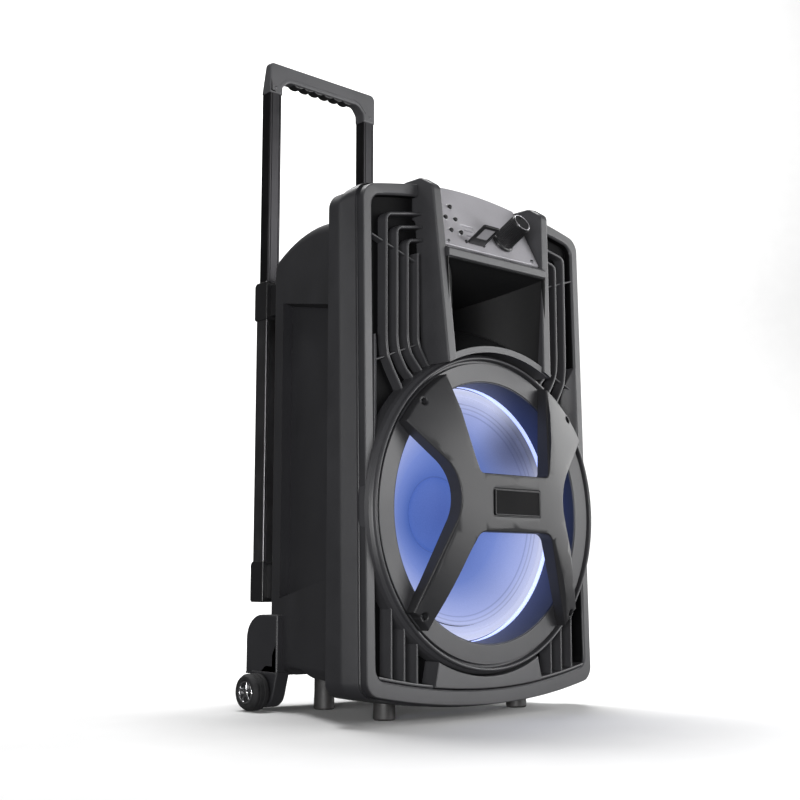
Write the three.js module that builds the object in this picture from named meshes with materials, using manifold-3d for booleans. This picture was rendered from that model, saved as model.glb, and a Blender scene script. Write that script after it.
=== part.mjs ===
// Trolley party speaker: one 15-inch woofer and a horn in a wide front frame, on a tapered
// two-wheel cabinet with a telescopic pull handle. Millimetres, +Z up, the front faces -Y.
// The pieces are drawn with Y = 0 on the woofer ring's face, and the last group moves them
// so that the origin is on the floor under the middle of the speaker's box.
import * as THREE from "three";
import { mergeVertices } from "three/addons/utils/BufferGeometryUtils.js";
import Module from "manifold-3d";

const wasm = await Module();
wasm.setup();

// Driving dimensions
const GAP = 0.3; // clearance between pieces that touch
const WALL = 4; // moulded wall thickness
const SHELL_HALF_WIDTH = 218; // front frame, over its sides
const FACE_HALF_WIDTH = 204.5; // corners of the front frame's face
const FACE_BOTTOM = 35; // at the corners, and so is FACE_TOP
const FACE_TOP = 657;
const FACE_CROWN = { low: 22, high: 28 }; // bulge of the bottom and top edges at the middle
const FACE_TOP_Y = 17.5;
const FACE_LEAN = 0.022; // how far the face comes forward for each millimetre down
const CHAMFER_STEP = 2; // the chamfer round the face starts a little outside it
const OPENING_HALF_WIDTH = 190;
const OPENING_BOTTOM = 56;
const OPENING_TOP = 645;
const OPENING_CROWN = { low: 21, high: 21 };
const FRAME_BACK = 69;
const BACK_WALL_FOOT = 610; // the frame is closed at the back above the rear shell's roof
const BAFFLE_Y = 28.3;
const BAFFLE_THICK = 6;
const WOOFER_Z = 258.3;
const RING_OUTER = 206;
const RING_INNER = 167;
const BEZEL_SCREWS = [[-135, 388], [135, 388], [-135, 128], [135, 128]]; // x and z
const CONE_RADIUS = 146;
const BEZEL_DEPTH = 20; // from its face to the back of its walls
const APRON = { footHalf: 98, shoulderHalf: 91, bottom: 30, shoulder: 104, top: 110 };
const REAR_FRONT_HALF = 205; // rear shell's half width where it meets the front frame
const REAR_BACK_HALF = 121;
const REAR_BACK_Y = 305;
const REAR_BOTTOM = 47;
const REAR_TOP = 638; // at the crest of its crowned roof
const REAR_CREST_Y = 190;
const REAR_CROWN = 0.0011; // fall of the roof per square millimetre from its crest
const TUBE_X = 93; // handle tubes, centre to centre line
const TUBE_Y = 359;
const INNER_TUBE = { width: 22, depth: 20 };
const OUTER_TUBE = { width: 27, depth: 25 };
const GRIP_BOTTOM = 899;
const GRIP_TOP = 947;
const WHEEL_RADIUS = 24;
const WHEEL_Y = 270;
const WHEEL_Z = 24.6;
const PANEL_LEAN = (28 * Math.PI) / 180; // control panel, leaning back from upright
const PANEL_FOOT = { y: -9, z: 595 };
const PANEL_LENGTH = 111.5; // at the middle of its crowned top edge
const PANEL_CROWN = 10;
const PANEL_HALF = 91;
const BUTTON_COLUMNS = [-66, -48];
const BUTTON_ROWS = [73, 51, 28.5];
const KNOB = { x: 31, y: 30, radius: 15, length: 45 };
const FLAP = { x0: -43.5, x1: -14, y: 14.5, length: 36 };
const SLOT = { x0: -40, x1: -17, y0: 19, y1: 45 };
const PILLAR = { width: 15, lowX: 87, highX: 102, lowZ: 405, highZ: 650, lowY: -24.7, highY: -9.7 };
const NOTCH_HALF = 112.4;
const NOTCH_BACK = 52;
const BODY_CENTRE_Y = 163.7; // middle of the whole box, front to back
const WOOFER_SEGMENTS = 32; // the same for all, so that nested rings stay parallel
const ROCKER_Z = 128; // power switch
const ROCKER_TILT = 0.1; // radians, resting in its off position
const BLADE_TAILS = [ // lower end of each louvre blade, from the outermost in
  [[169, 478], [167.7, 448.3], [157.7, 429.5], [141, 403]],
  [[151, 474], [147, 450.8], [135.7, 431.3], [120, 418]],
  [[133, 474], [126.5, 451], [106, 428]],
  [[115, 474], [110.6, 458.4], [93, 434]],
];
const BLADE_FRONT = 13;
const BRIDGES = [[[112, 571], [189, 595.5]], [[112, 466.5], [186, 437.5]]]; // ends of the cross ribs
const SIDES = { left: -1, right: 1 };

const parts = new THREE.Group();

// ---------- solids and booleans ----------

function solid(geometry) {
  const bare = (geometry.index ? geometry.toNonIndexed() : geometry.clone());
  bare.deleteAttribute("normal");
  bare.deleteAttribute("uv");
  const merged = mergeVertices(bare, 1e-3);
  const triVerts = new Uint32Array(merged.index.array);
  const make = (triangles) => new wasm.Manifold(new wasm.Mesh({
    numProp: 3,
    vertProperties: merged.attributes.position.array,
    triVerts: triangles,
  }));
  const made = make(triVerts);
  return made.volume() < 0 ? make(triVerts.reverse()) : made;
}

function geometryOf(manifold) {
  const mesh = manifold.getMesh();
  const geometry = new THREE.BufferGeometry();
  geometry.setAttribute("position", new THREE.BufferAttribute(mesh.vertProperties, 3));
  geometry.setIndex(new THREE.BufferAttribute(mesh.triVerts, 1));
  geometry.computeVertexNormals();
  return geometry;
}

function union(...solids) {
  return solids.reduce((sum, next) => sum.add(next));
}

const material = (color, roughness, metalness = 0) => () =>
  new THREE.MeshStandardMaterial({ color, roughness, metalness });
const FINISH = {
  shell: material(0x242427, 0.55),
  gloss: material(0x2e2e31, 0.35),
  ring: material(0x4a4a4d, 0.45),
  steel: material(0x8b8d91, 0.35, 0.9),
  darkSteel: material(0x3a3b3e, 0.5, 0.8),
  rubber: material(0x151516, 0.85),
  silver: material(0xb9b9bd, 0.4, 0.4),
  cone: material(0x6f86d8, 0.7),
  board: material(0x1f5a33, 0.6),
  copper: material(0xa8623a, 0.45, 0.9),
};

function addPart(name, shape, finish, group = parts) {
  const geometry = shape instanceof wasm.Manifold ? geometryOf(shape) : geometryOf(solid(shape));
  const mesh = new THREE.Mesh(geometry, finish());
  mesh.name = name;
  group.add(mesh);
  return mesh;
}

// ---------- outlines and extrusions ----------

function outline(points) {
  return new THREE.Shape(points.map(([a, b]) => new THREE.Vector2(a, b)));
}

function roundedRect(x0, y0, x1, y1, r) {
  const shape = new THREE.Shape();
  shape.moveTo(x0 + r, y0);
  shape.lineTo(x1 - r, y0);
  shape.absarc(x1 - r, y0 + r, r, -Math.PI / 2, 0);
  shape.lineTo(x1, y1 - r);
  shape.absarc(x1 - r, y1 - r, r, 0, Math.PI / 2);
  shape.lineTo(x0 + r, y1);
  shape.absarc(x0 + r, y1 - r, r, Math.PI / 2, Math.PI);
  shape.lineTo(x0, y0 + r);
  shape.absarc(x0 + r, y0 + r, r, Math.PI, 1.5 * Math.PI);
  return shape;
}

function extrude(shape, depth, curveSegments) {
  return new THREE.ExtrudeGeometry(shape, { depth, bevelEnabled: false, curveSegments });
}

// Shape drawn in X and Z, extruded from y0 to y1.
function alongY(shape, y0, y1, curveSegments = 5) {
  return solid(extrude(shape, y1 - y0, curveSegments).rotateX(Math.PI / 2).translate(0, y1, 0));
}

// Shape drawn in X and Y, extruded from z0 to z1.
function alongZ(shape, z0, z1, curveSegments = 5) {
  return solid(extrude(shape, z1 - z0, curveSegments).translate(0, 0, z0));
}

// Shape drawn in Y and Z, extruded from x0 to x1.
function alongX(shape, x0, x1, curveSegments = 5) {
  const turn = new THREE.Matrix4().makeBasis(
    new THREE.Vector3(0, 1, 0), new THREE.Vector3(0, 0, 1), new THREE.Vector3(1, 0, 0));
  return solid(extrude(shape, x1 - x0, curveSegments).applyMatrix4(turn).translate(x0, 0, 0));
}

function block(x0, x1, y0, y1, z0, z1) {
  const box = new THREE.BoxGeometry(x1 - x0, y1 - y0, z1 - z0);
  return solid(box.translate((x0 + x1) / 2, (y0 + y1) / 2, (z0 + z1) / 2));
}

// Profile of [radius, y] points turned about the woofer's axis.
function turnedOnWoofer(profile) {
  const points = profile.map(([r, y]) => new THREE.Vector2(r, y));
  return solid(new THREE.LatheGeometry(points, WOOFER_SEGMENTS).translate(0, 0, WOOFER_Z));
}

// Profile of [radius, x] points turned about an axis along X through (y, z).
function turnedOnX(profile, y, z, segments = 24) {
  const points = profile.map(([r, x]) => new THREE.Vector2(r, x));
  return solid(new THREE.LatheGeometry(points, segments).rotateZ(-Math.PI / 2).translate(0, y, z));
}

function rod(radius, y0, y1, x, z, segments = 16) {
  const length = y1 - y0;
  return solid(new THREE.CylinderGeometry(radius, radius, length, segments)
    .translate(x, (y0 + y1) / 2, z));
}

function arcPoints(count, point) {
  return Array.from({ length: count + 1 }, (_, i) => point(i / count));
}

// ---------- front frame ----------

function faceY(z) {
  return FACE_TOP_Y - FACE_LEAN * (FACE_TOP - z);
}

// Rounded rectangle whose bottom and top edges bulge outwards.
function crowned(halfWidth, bottom, top, crown, radius) {
  const across = halfWidth - radius;
  const edge = (from, to, z, rise) => arcPoints(8, (t) => {
    const x = from + (to - from) * t;
    return [x, z + rise * (1 - (x / halfWidth) ** 2)];
  });
  const corner = (x, z, start) => arcPoints(3, (t) => {
    const angle = start + (t * Math.PI) / 2;
    return [x + radius * Math.cos(angle), z + radius * Math.sin(angle)];
  });
  return outline([
    ...edge(-across, across, bottom, -crown.low),
    ...corner(across, bottom + radius, -Math.PI / 2).slice(1),
    ...corner(across, top - radius, 0),
    ...edge(across, -across, top, crown.high),
    ...corner(-across, top - radius, Math.PI / 2).slice(1),
    ...corner(-across, bottom + radius, Math.PI),
  ]);
}

function frameBlock(inset, back) {
  const half = SHELL_HALF_WIDTH - inset;
  const step = FACE_HALF_WIDTH + CHAMFER_STEP - inset;
  const plan = outline([[-half, back + FRAME_BACK], [-half, 46 + back], [-step, 23 + back], [-step, -60],
    [step, -60], [step, 23 + back], [half, 46 + back], [half, back + FRAME_BACK]]);
  const section = outline([[faceY(0) + back, 0], [FRAME_BACK + back, 0], [FRAME_BACK + back, 720],
    [faceY(720) + back, 720]]);
  const front = crowned(half, FACE_BOTTOM + inset, FACE_TOP - inset, FACE_CROWN, 14);
  return alongZ(plan, 0, 720).intersect(alongX(section, -300, 300)).intersect(alongY(front, -60, 120));
}

function frameOpening(grow) {
  const bottom = OPENING_BOTTOM - grow;
  return crowned(OPENING_HALF_WIDTH + grow, bottom, OPENING_TOP + grow, OPENING_CROWN, 12 + grow);
}

function ringRelief(radius, y0, y1) {
  return rod(radius, y0, y1, 0, WOOFER_Z, WOOFER_SEGMENTS);
}

// The middle of the top edge is cut away for the pillars and the control panel.
function topNotch() {
  return block(-NOTCH_HALF, NOTCH_HALF, -80, NOTCH_BACK, 629, 720);
}

function makeFrontFrame() {
  const hollow = frameBlock(WALL, WALL).intersect(block(-300, 300, -60, FRAME_BACK - WALL, 0, 720))
    .subtract(alongY(frameOpening(WALL), -60, 38));
  const frame = frameBlock(0, 0)
    .subtract(hollow)
    .subtract(alongY(frameOpening(0), -80, 120))
    .subtract(ringRelief(RING_OUTER + GAP, -80, 47))
    .subtract(topNotch());
  const backWall = alongY(frameOpening(WALL), FRAME_BACK - WALL, FRAME_BACK)
    .intersect(block(-300, 300, 0, 120, BACK_WALL_FOOT, 720));
  addPart("front_frame", frame.add(backWall), FINISH.shell);
}

function makeBaffle() {
  const plate = alongY(frameOpening(-GAP), BAFFLE_Y, BAFFLE_Y + BAFFLE_THICK);
  const horn = alongY(outline([[-84, 470], [84, 470], [84, 574], [-84, 574]]), 0, 60);
  const panel = block(-84, 84, 0, 60, 592, 700);
  const baffle = plate.subtract(ringRelief(172, 0, 60)).subtract(horn).subtract(panel)
    .subtract(topNotch());
  addPart("baffle_board", baffle.add(lowerApron()), FINISH.shell);
}

// The plain face under the ring, flush with the border, between the two corner vents.
function lowerApron() {
  const { footHalf, shoulderHalf, bottom, shoulder, top } = APRON;
  const back = BAFFLE_Y + 1;
  const section = outline([[faceY(bottom) + GAP, bottom], [back, bottom], [back, top],
    [faceY(top) + GAP, top]]);
  const face = outline([[-footHalf, bottom], [footHalf, bottom], [shoulderHalf, shoulder],
    [-shoulderHalf, shoulder]]);
  return alongX(section, -150, 150).intersect(alongY(face, -60, 60))
    .intersect(alongY(frameOpening(-GAP), -60, 60))
    .subtract(ringRelief(RING_OUTER + GAP, -80, 60));
}

// ---------- vents ----------

// One louvre blade: out from the pillar, down, then curved in to end on the ring.
function bladeLine(k) {
  const x = 169 - 18 * k;
  const top = 624.6 - 14 * k;
  const rise = 0.19;
  const inner = [[100, top + rise * (x - 100)], [x - 12, top + rise * 12]];
  const start = k < 3 ? [...inner, [x - 3.5, top - 2], [x, top - 11]] : [[x, top]];
  return [...start, ...BLADE_TAILS[k]];
}

function ribbon(line, thick) {
  const side = (sign) => line.map(([x, z], i) => {
    const [xa, za] = line[Math.max(i - 1, 0)];
    const [xb, zb] = line[Math.min(i + 1, line.length - 1)];
    const length = Math.hypot(xb - xa, zb - za);
    return [x - (sign * (zb - za) * thick) / length / 2, z + (sign * (xb - xa) * thick) / length / 2];
  });
  return outline([...side(1), ...side(-1).reverse()]);
}

function mirrored(points, side) {
  return side > 0 ? points : points.map(([x, z]) => [-x, z]).reverse();
}

function makeVents() {
  const opening = alongY(frameOpening(-GAP), -60, 60);
  const aboveSill = alongY(frameOpening(-GAP - 4), -60, 60);
  for (const [name, side] of Object.entries(SIDES)) {
    const blades = [0, 1, 2, 3].map((k) =>
      alongY(ribbon(mirrored(bladeLine(k), side), 4.4), BLADE_FRONT, BAFFLE_Y - GAP));
    const bridges = BRIDGES.map((line) => alongY(ribbon(mirrored(line, side), 3), 18, 22));
    const vent = union(...blades, ...bridges).subtract(ringRelief(RING_OUTER + GAP, -80, 60))
      .subtract(makePillar(side, GAP));
    addPart("vent_louvre_" + name, vent, FINISH.shell);

    const slats = [165, 144, 123].map((x) =>
      block(side * x - 1.6, side * x + 1.6, 8, BAFFLE_Y - GAP, 30, 190));
    const rail = block(Math.min(side * 101, side * 174), Math.max(side * 101, side * 174),
      8, BAFFLE_Y - GAP, 30, 80).subtract(aboveSill);
    const slatPart = union(rail, ...slats).intersect(opening)
      .subtract(ringRelief(RING_OUTER + GAP, -80, 60));
    addPart("corner_slats_" + name, slatPart, FINISH.shell);
  }
}

// ---------- centre fascia: pillars, bar and horn surround ----------

function pillarY(z) {
  const t = (z - PILLAR.lowZ) / (PILLAR.highZ - PILLAR.lowZ);
  return PILLAR.lowY + (PILLAR.highY - PILLAR.lowY) * t;
}

function pillarX(z) {
  const t = (z - PILLAR.lowZ) / (PILLAR.highZ - PILLAR.lowZ);
  return PILLAR.lowX + (PILLAR.highX - PILLAR.lowX) * t;
}

function makePillar(side, grow = 0) {
  const half = PILLAR.width / 2 + grow;
  const back = BAFFLE_Y - GAP;
  const shelf = NOTCH_BACK - 4;
  const top = 684;
  const section = outline([[back, 380], [pillarY(380), 380], [pillarY(656), 656], [pillarY(656) + 4, 673],
    [pillarY(656) + 14, top - 3], [pillarY(656) + 26, top], [shelf, top], [shelf, 640], [back, 630]]);
  const face = outline(mirrored([[pillarX(380) - half, 380], [pillarX(380) + half, 380],
    [pillarX(680) + half, 680], [pillarX(680) - half, 680]], side));
  return alongX(section, -140, 140).intersect(alongY(face, -60, 80));
}

function makeFascia() {
  const bar = alongX(outline([[-19, 578], [-19, 590], [PANEL_FOOT.y - 1, 593.5], [12, 593.5],
    [12, 578]]), -96, 96);
  const sill = block(-90, 90, -18, 10, 440, 466);
  const lip = block(-100, 100, NOTCH_BACK - 5.4, NOTCH_BACK - GAP, 655, 684);
  const fascia = union(makePillar(-1), makePillar(1), bar, sill, lip)
    .subtract(ringRelief(RING_OUTER + GAP, -80, 60))
    .subtract(hornSolid(3 + GAP));
  addPart("centre_fascia", fascia, FINISH.gloss);
}

// ---------- horn ----------

function hornSolid(grow) {
  const stations = [[-17, 80, 464, 574], [10, 74, 474, 569], [40, 52, 492, 555], [70, 28, 504, 542],
    [100, 14, 509, 537]];
  const mouth = stations.map(([y, half, low, high]) => ({ y, half: half + grow, low: low - grow,
    high: high + grow }));
  const plan = outline([...mouth.map((s) => [-s.half, s.y]),
    ...mouth.map((s) => [s.half, s.y]).reverse()]);
  const section = outline([...mouth.map((s) => [s.y, s.low]),
    ...mouth.map((s) => [s.y, s.high]).reverse()]);
  return alongZ(plan, 400, 620).intersect(alongX(section, -120, 120));
}

function makeHorn() {
  const throat = rod(12, 60, 130, 0, 523);
  const collar = rod(20, 92, 104, 0, 523);
  const inside = hornSolid(0).add(throat);
  const horn = hornSolid(3).add(collar).subtract(inside)
    .subtract(block(-120, 120, -60, -16.5, 400, 640));
  addPart("horn_waveguide", horn, FINISH.gloss);
  const driver = rod(40, 104.3, 128, 0, 523, 24).add(rod(32, 127, 146, 0, 523, 24));
  addPart("compression_driver", driver, FINISH.darkSteel);
}

// ---------- woofer ----------

function makeRing() {
  const profile = [[RING_INNER, 0], [193, 0], [193, 4], [197, 4], [197, -2], [201, -3], [204, 2],
    [RING_OUTER, 12], [RING_OUTER, 28], [171.7, 28], [171.7, 34], [171.7, 46], [RING_INNER, 46],
    [RING_INNER, 0]];
  addPart("woofer_ring", turnedOnWoofer(profile), FINISH.ring);
}

function domeY(r) {
  return -47 + 35 * (r / 200) ** 2.5;
}

function sideWindow(side, grow) {
  const g = grow;
  return outline(mirrored([[240, 400], [163 - g, 362 + g], [120 - g, 322 + g], [101 - g, 297 + g / 2],
    [94 - g, 275], [98 - g, 250 - g / 2], [150 - g, 133 - g], [240, 60]], side));
}

function endWindow(points, grow) {
  const [corner, mid, ring, end] = points;
  const up = Math.sign(end[1] - corner[1]);
  return outline([
    [-corner[0] - grow + 8, corner[1] - up * grow], [corner[0] + grow - 8, corner[1] - up * grow],
    [corner[0] + grow, corner[1] + up * (8 - grow)], [mid[0] + grow, mid[1]], [ring[0] + grow, ring[1]],
    [end[0], end[1]], [-end[0], end[1]], [-ring[0] - grow, ring[1]], [-mid[0] - grow, mid[1]],
    [-corner[0] - grow, corner[1] + up * (8 - grow)]]);
}

function makeBezel() {
  const dome = (back, rim) => {
    const front = arcPoints(8, (t) => [t * rim, domeY(t * rim) + back]);
    return turnedOnWoofer([...front, [rim, 60], [0, 60], [0, domeY(0) + back]]);
  };
  const windows = (g) => [sideWindow(-1, g), sideWindow(1, g),
    endWindow([[63, 303], [80, 360], [93, 424], [93, 520]], g),
    endWindow([[65, 230.5], [95, 168], [126, 111], [126, 0]], g)];
  const cut = (body, g) => windows(g).reduce((left, w) => left.subtract(alongY(w, -80, 80)), body);
  const slab = cut(dome(0, 192.5).intersect(block(-300, 300, -80, -GAP, 0, 600)), 0);
  const hollow = cut(dome(3, 188), 3).intersect(block(-300, 300, -80, 0, 0, 600));
  const pads = BEZEL_SCREWS.map(([x, z]) => rod(7, -12, -GAP, x, z, 12));
  const cross = slab.subtract(hollow).subtract(dome(BEZEL_DEPTH, 200));
  const body = union(cross, ...pads).subtract(block(-42, 42, -60, -45, 250, 284));
  const holes = BEZEL_SCREWS.reduce((left, [x, z]) => left.subtract(rod(4.3, -60, 10, x, z, 12)), body);
  addPart("x_bezel", holes, FINISH.gloss);
  addPart("badge_plate", block(-41, 41, -47.6, -45.3, 251, 283), FINISH.rubber);
  BEZEL_SCREWS.forEach(([x, z], i) => {
    const head = rod(4, -19, -12, x, z, 12).add(rod(2, -13, -1, x, z, 12));
    addPart("bezel_screw_" + (i + 1), head, FINISH.darkSteel);
  });
}

function makeWoofer() {
  const basket = turnedOnWoofer([[149.5, 63], [149.5, 60], [166, 60], [166, 57], [174, 57], [174, 60],
    [171, 64], [158, 68], [90, 132], [72, 134], [72, 130], [88, 128], [152, 66], [149.5, 63]]);
  const windows = [0, 1, 2, 3].map((i) => {
    const angle = ((45 + 90 * i) * Math.PI) / 180;
    return rod(20, 80, 150, 118 * Math.cos(angle), WOOFER_Z + 118 * Math.sin(angle), 10);
  });
  addPart("woofer_basket", windows.reduce((left, w) => left.subtract(w), basket), FINISH.darkSteel);
  addPart("surround", turnedOnWoofer([[CONE_RADIUS + 1, 52], [152, 48], [157, 53], [162, 48], [166, 54],
    [166, 56.5], [161, 51], [157, 56], [152, 51], [CONE_RADIUS + 1, 55], [CONE_RADIUS + 1, 52]]),
  FINISH.cone);
  addPart("cone", turnedOnWoofer([[CONE_RADIUS, 52], [CONE_RADIUS, 54], [40, 113], [36, 113], [36, 110.5],
    [CONE_RADIUS, 52]]), FINISH.cone);
  addPart("dust_cap", turnedOnWoofer([[0, 86], [22, 89], [40, 96], [50, 100.2], [50, 102.4], [38, 98.6],
    [20, 91.6], [0, 88.6]]), FINISH.cone);
  addPart("voice_coil", turnedOnWoofer([[36, 113.3], [37.5, 113.3], [37.5, 165], [36, 165], [36, 113.3]]),
    FINISH.copper);
  addPart("spider", turnedOnWoofer([[39, 127], [50, 124], [58, 128], [71.5, 124], [71.5, 126],
    [58, 130], [50, 126], [39, 129], [39, 127]]), FINISH.copper);
  addPart("woofer_magnet", turnedOnWoofer([[0, 134.3], [34, 134.3], [34, 172], [40, 172],
    [40, 134.3], [68, 134.3], [68, 176], [0, 176]]), FINISH.darkSteel);
  addPart("led_ring", turnedOnWoofer([[167.5, 46.6], [171, 46.6], [171, 56.5], [167.5, 56.5],
    [167.5, 46.6]]), FINISH.silver);
}

// ---------- rear shell ----------

function rearBlock(inset) {
  const front = FRAME_BACK + GAP;
  const cornerR = 22;
  const slope = (REAR_FRONT_HALF - REAR_BACK_HALF) / (REAR_BACK_Y - front);
  const half = (y) => REAR_FRONT_HALF - slope * (y - front) - inset * 1.06;
  const back = REAR_BACK_Y - inset;
  const start = inset ? front - 5 : front;
  const corner = arcPoints(3, (t) => {
    const a = (t * Math.PI) / 2;
    return [half(back - cornerR) - cornerR * (1 - Math.cos(a)), back - cornerR + cornerR * Math.sin(a)];
  });
  const right = [[half(start), start], ...corner];
  const left = right.map(([x, y]) => [-x, y]).reverse();
  const plan = outline([...right, ...left]);
  const roof = (y) => REAR_TOP - inset - REAR_CROWN * (y - REAR_CREST_Y) ** 2;
  const profile = outline([[start, REAR_BOTTOM + inset], [back - 12, REAR_BOTTOM + inset],
    [back, REAR_BOTTOM + 12 + inset], [back, roof(back) - 20], [back - 8, roof(back - 8) - 5],
    ...[back - 26, 240, REAR_CREST_Y, 130, start].map((y) => [y, roof(y)])]);
  return alongZ(plan, 0, 700).intersect(alongX(profile, -300, 300));
}

function gripRecess(side, grow) {
  const top = 552 + grow;
  const bottom = 148 - grow;
  const wedge = outline(mirrored([[230, 82 - grow], [176 - grow, 82 - grow], [124 - grow, 262 + grow * 2],
    [230, 262 + grow * 2]], side));
  const face = outline([[82 - grow, bottom + 28], [100, bottom + 6], [262 + grow, bottom], [262 + grow, top],
    [100, top - 12], [82 - grow, top - 40]]);
  return alongZ(wedge, 100, 600).intersect(alongX(face, -300, 300));
}

function makeRearShell() {
  const outer = rearBlock(0);
  const recesses = gripRecess(-1, 0).add(gripRecess(1, 0));
  const grown = gripRecess(-1, WALL).add(gripRecess(1, WALL));
  const plateHole = block(-62, 62, REAR_BACK_Y - 10, REAR_BACK_Y + 10, 90, 190);
  const shell = outer.subtract(recesses).subtract(rearBlock(WALL).subtract(grown)).subtract(plateHole);
  addPart("rear_shell", shell, FINISH.shell);
}

function makeRearPlate() {
  const y = REAR_BACK_Y - WALL;
  const socket = block(-50, -18, y - 6, y + 20, 116, 140);
  const rockerHole = block(12, 30, y - 6, y + 20, ROCKER_Z - 13, ROCKER_Z + 13);
  const plate = block(-61.7, 61.7, y, y + WALL, 90.3, 189.7).subtract(socket).subtract(rockerHole);
  addPart("rear_plate", plate, FINISH.gloss);
  const well = block(-47, -21, y - 14, y + 10, 119, 137);
  const inlet = block(-49.7, -18.3, y - 18, y + 5, 116.3, 139.7).subtract(well)
    .add(block(-35, -33, y - 18, y - 2, 126, 132));
  addPart("power_inlet", inlet, FINISH.rubber);
  const halfLength = 12;
  const rocker = outline([[-4, -halfLength], [6, -halfLength], [4.5, 0], [6, halfLength], [-4, halfLength]]);
  const mesh = addPart("power_switch", alongX(rocker, 12.3, 29.7), FINISH.rubber);
  mesh.position.set(0, y - 1, ROCKER_Z);
  mesh.rotation.x = ROCKER_TILT;
}

// ---------- electronics inside ----------

function makeElectronics() {
  addPart("amplifier_board", block(-60, 60, 288, 290, 200, 330)
    .add(block(-50, 50, 262, 288.5, 300, 322)), FINISH.board);
  addPart("power_transformer", block(-96, -30, 214, 274, 51.3, 108), FINISH.darkSteel);
  addPart("battery", block(-12, 88, 208, 276, 51.3, 145), FINISH.rubber);
}

// ---------- control panel ----------

const panelGroup = new THREE.Group();

// Inside this group X runs across, Y up the panel and Z out of it.
function placePanelGroup() {
  panelGroup.position.set(0, PANEL_FOOT.y, PANEL_FOOT.z);
  panelGroup.rotation.set(Math.PI / 2 - PANEL_LEAN, 0, 0);
  parts.add(panelGroup);
}

function onPanel(radius, length, x, y, z0, segments = 16) {
  return solid(new THREE.CylinderGeometry(radius, radius, length, segments)
    .rotateX(Math.PI / 2).translate(x, y, z0 + length / 2));
}

function makeControlPanel() {
  const top = arcPoints(8, (t) => [PANEL_HALF * (1 - 2 * t), PANEL_LENGTH - PANEL_CROWN * (1 - 2 * t) ** 2]);
  const plate = alongZ(outline([[-PANEL_HALF, 1.5], [PANEL_HALF, 1.5], ...top]), -3, 0);
  const holes = BUTTON_COLUMNS.flatMap((x) => BUTTON_ROWS.map((y) => onPanel(3.4, 10, x, y, -5, 12)));
  const slot = block(SLOT.x0, SLOT.x1, SLOT.y0, SLOT.y1, -6, 4);
  const shaft = onPanel(4, 10, KNOB.x, KNOB.y, -5, 12);
  const cut = [...holes, slot, shaft].reduce((left, hole) => left.subtract(hole), plate);
  addPart("control_panel", cut, FINISH.silver, panelGroup);

  const module = block(SLOT.x0 + GAP, SLOT.x1 - GAP, SLOT.y0 + GAP, SLOT.y1 - GAP, -22, -1)
    .subtract(block(SLOT.x0 + 5, SLOT.x1 - 5, SLOT.y0 + 5, SLOT.y0 + 10, -14, 4))
    .subtract(block(SLOT.x0 + 3, SLOT.x1 - 3, SLOT.y0 + 17, SLOT.y0 + 20, -14, 4));
  addPart("media_module", module, FINISH.rubber, panelGroup);

  BUTTON_COLUMNS.forEach((x, c) => BUTTON_ROWS.forEach((y, r) => {
    const cap = onPanel(3, 7, x, y, -4);
    addPart("button_" + (c * BUTTON_ROWS.length + r + 1), cap, FINISH.rubber, panelGroup);
  }));

  const skirt = onPanel(17, 4, KNOB.x, KNOB.y, 0.6, 24);
  const grip = onPanel(KNOB.radius, KNOB.length - 2, KNOB.x, KNOB.y, 2, 24);
  const stem = onPanel(3, 12, KNOB.x, KNOB.y, -8, 12);
  addPart("volume_knob", union(skirt, grip, stem), FINISH.rubber, panelGroup);

  const flap = block(FLAP.x0, FLAP.x1, FLAP.y - 3.2, FLAP.y - 0.2, 0.8, FLAP.length)
    .subtract(block(FLAP.x0 + 5, FLAP.x1 - 5, FLAP.y - 4, FLAP.y - 2, 14, 30));
  addPart("media_flap", flap, FINISH.rubber, panelGroup);
}

// ---------- handle ----------

function boxTube(x, size, z0, z1, wall, grow = 0) {
  const w = size.width / 2 + grow;
  const d = size.depth / 2 + grow;
  const outer = alongZ(roundedRect(x - w, TUBE_Y - d, x + w, TUBE_Y + d, 3), z0, z1, 2);
  if (!wall) return outer;
  return outer.subtract(alongZ(roundedRect(x - w + wall, TUBE_Y - d + wall, x + w - wall,
    TUBE_Y + d - wall, 2), z0 - 1, z1 + 1, 2));
}

function makeBracket(name, z0, z1, half, tubeFrom, tubeTo) {
  const arms = Object.values(SIDES).map((side) => {
    const x = side * TUBE_X;
    return block(x - 18, x + 18, REAR_BACK_Y + GAP, TUBE_Y + OUTER_TUBE.depth / 2 + 3.5, z0, z1);
  });
  const bar = block(-half, half, REAR_BACK_Y + GAP, REAR_BACK_Y + 14, z0 + 6, z1 - 6);
  const holes = Object.values(SIDES).flatMap((side) => [
    boxTube(side * TUBE_X, OUTER_TUBE, tubeFrom, tubeTo, 0, GAP),
    boxTube(side * TUBE_X, INNER_TUBE, z0 + 5, z1 + 20, 0, 0.6),
  ]);
  const bracket = holes.reduce((left, hole) => left.subtract(hole), union(bar, ...arms));
  addPart(name, bracket, FINISH.gloss);
}

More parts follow.
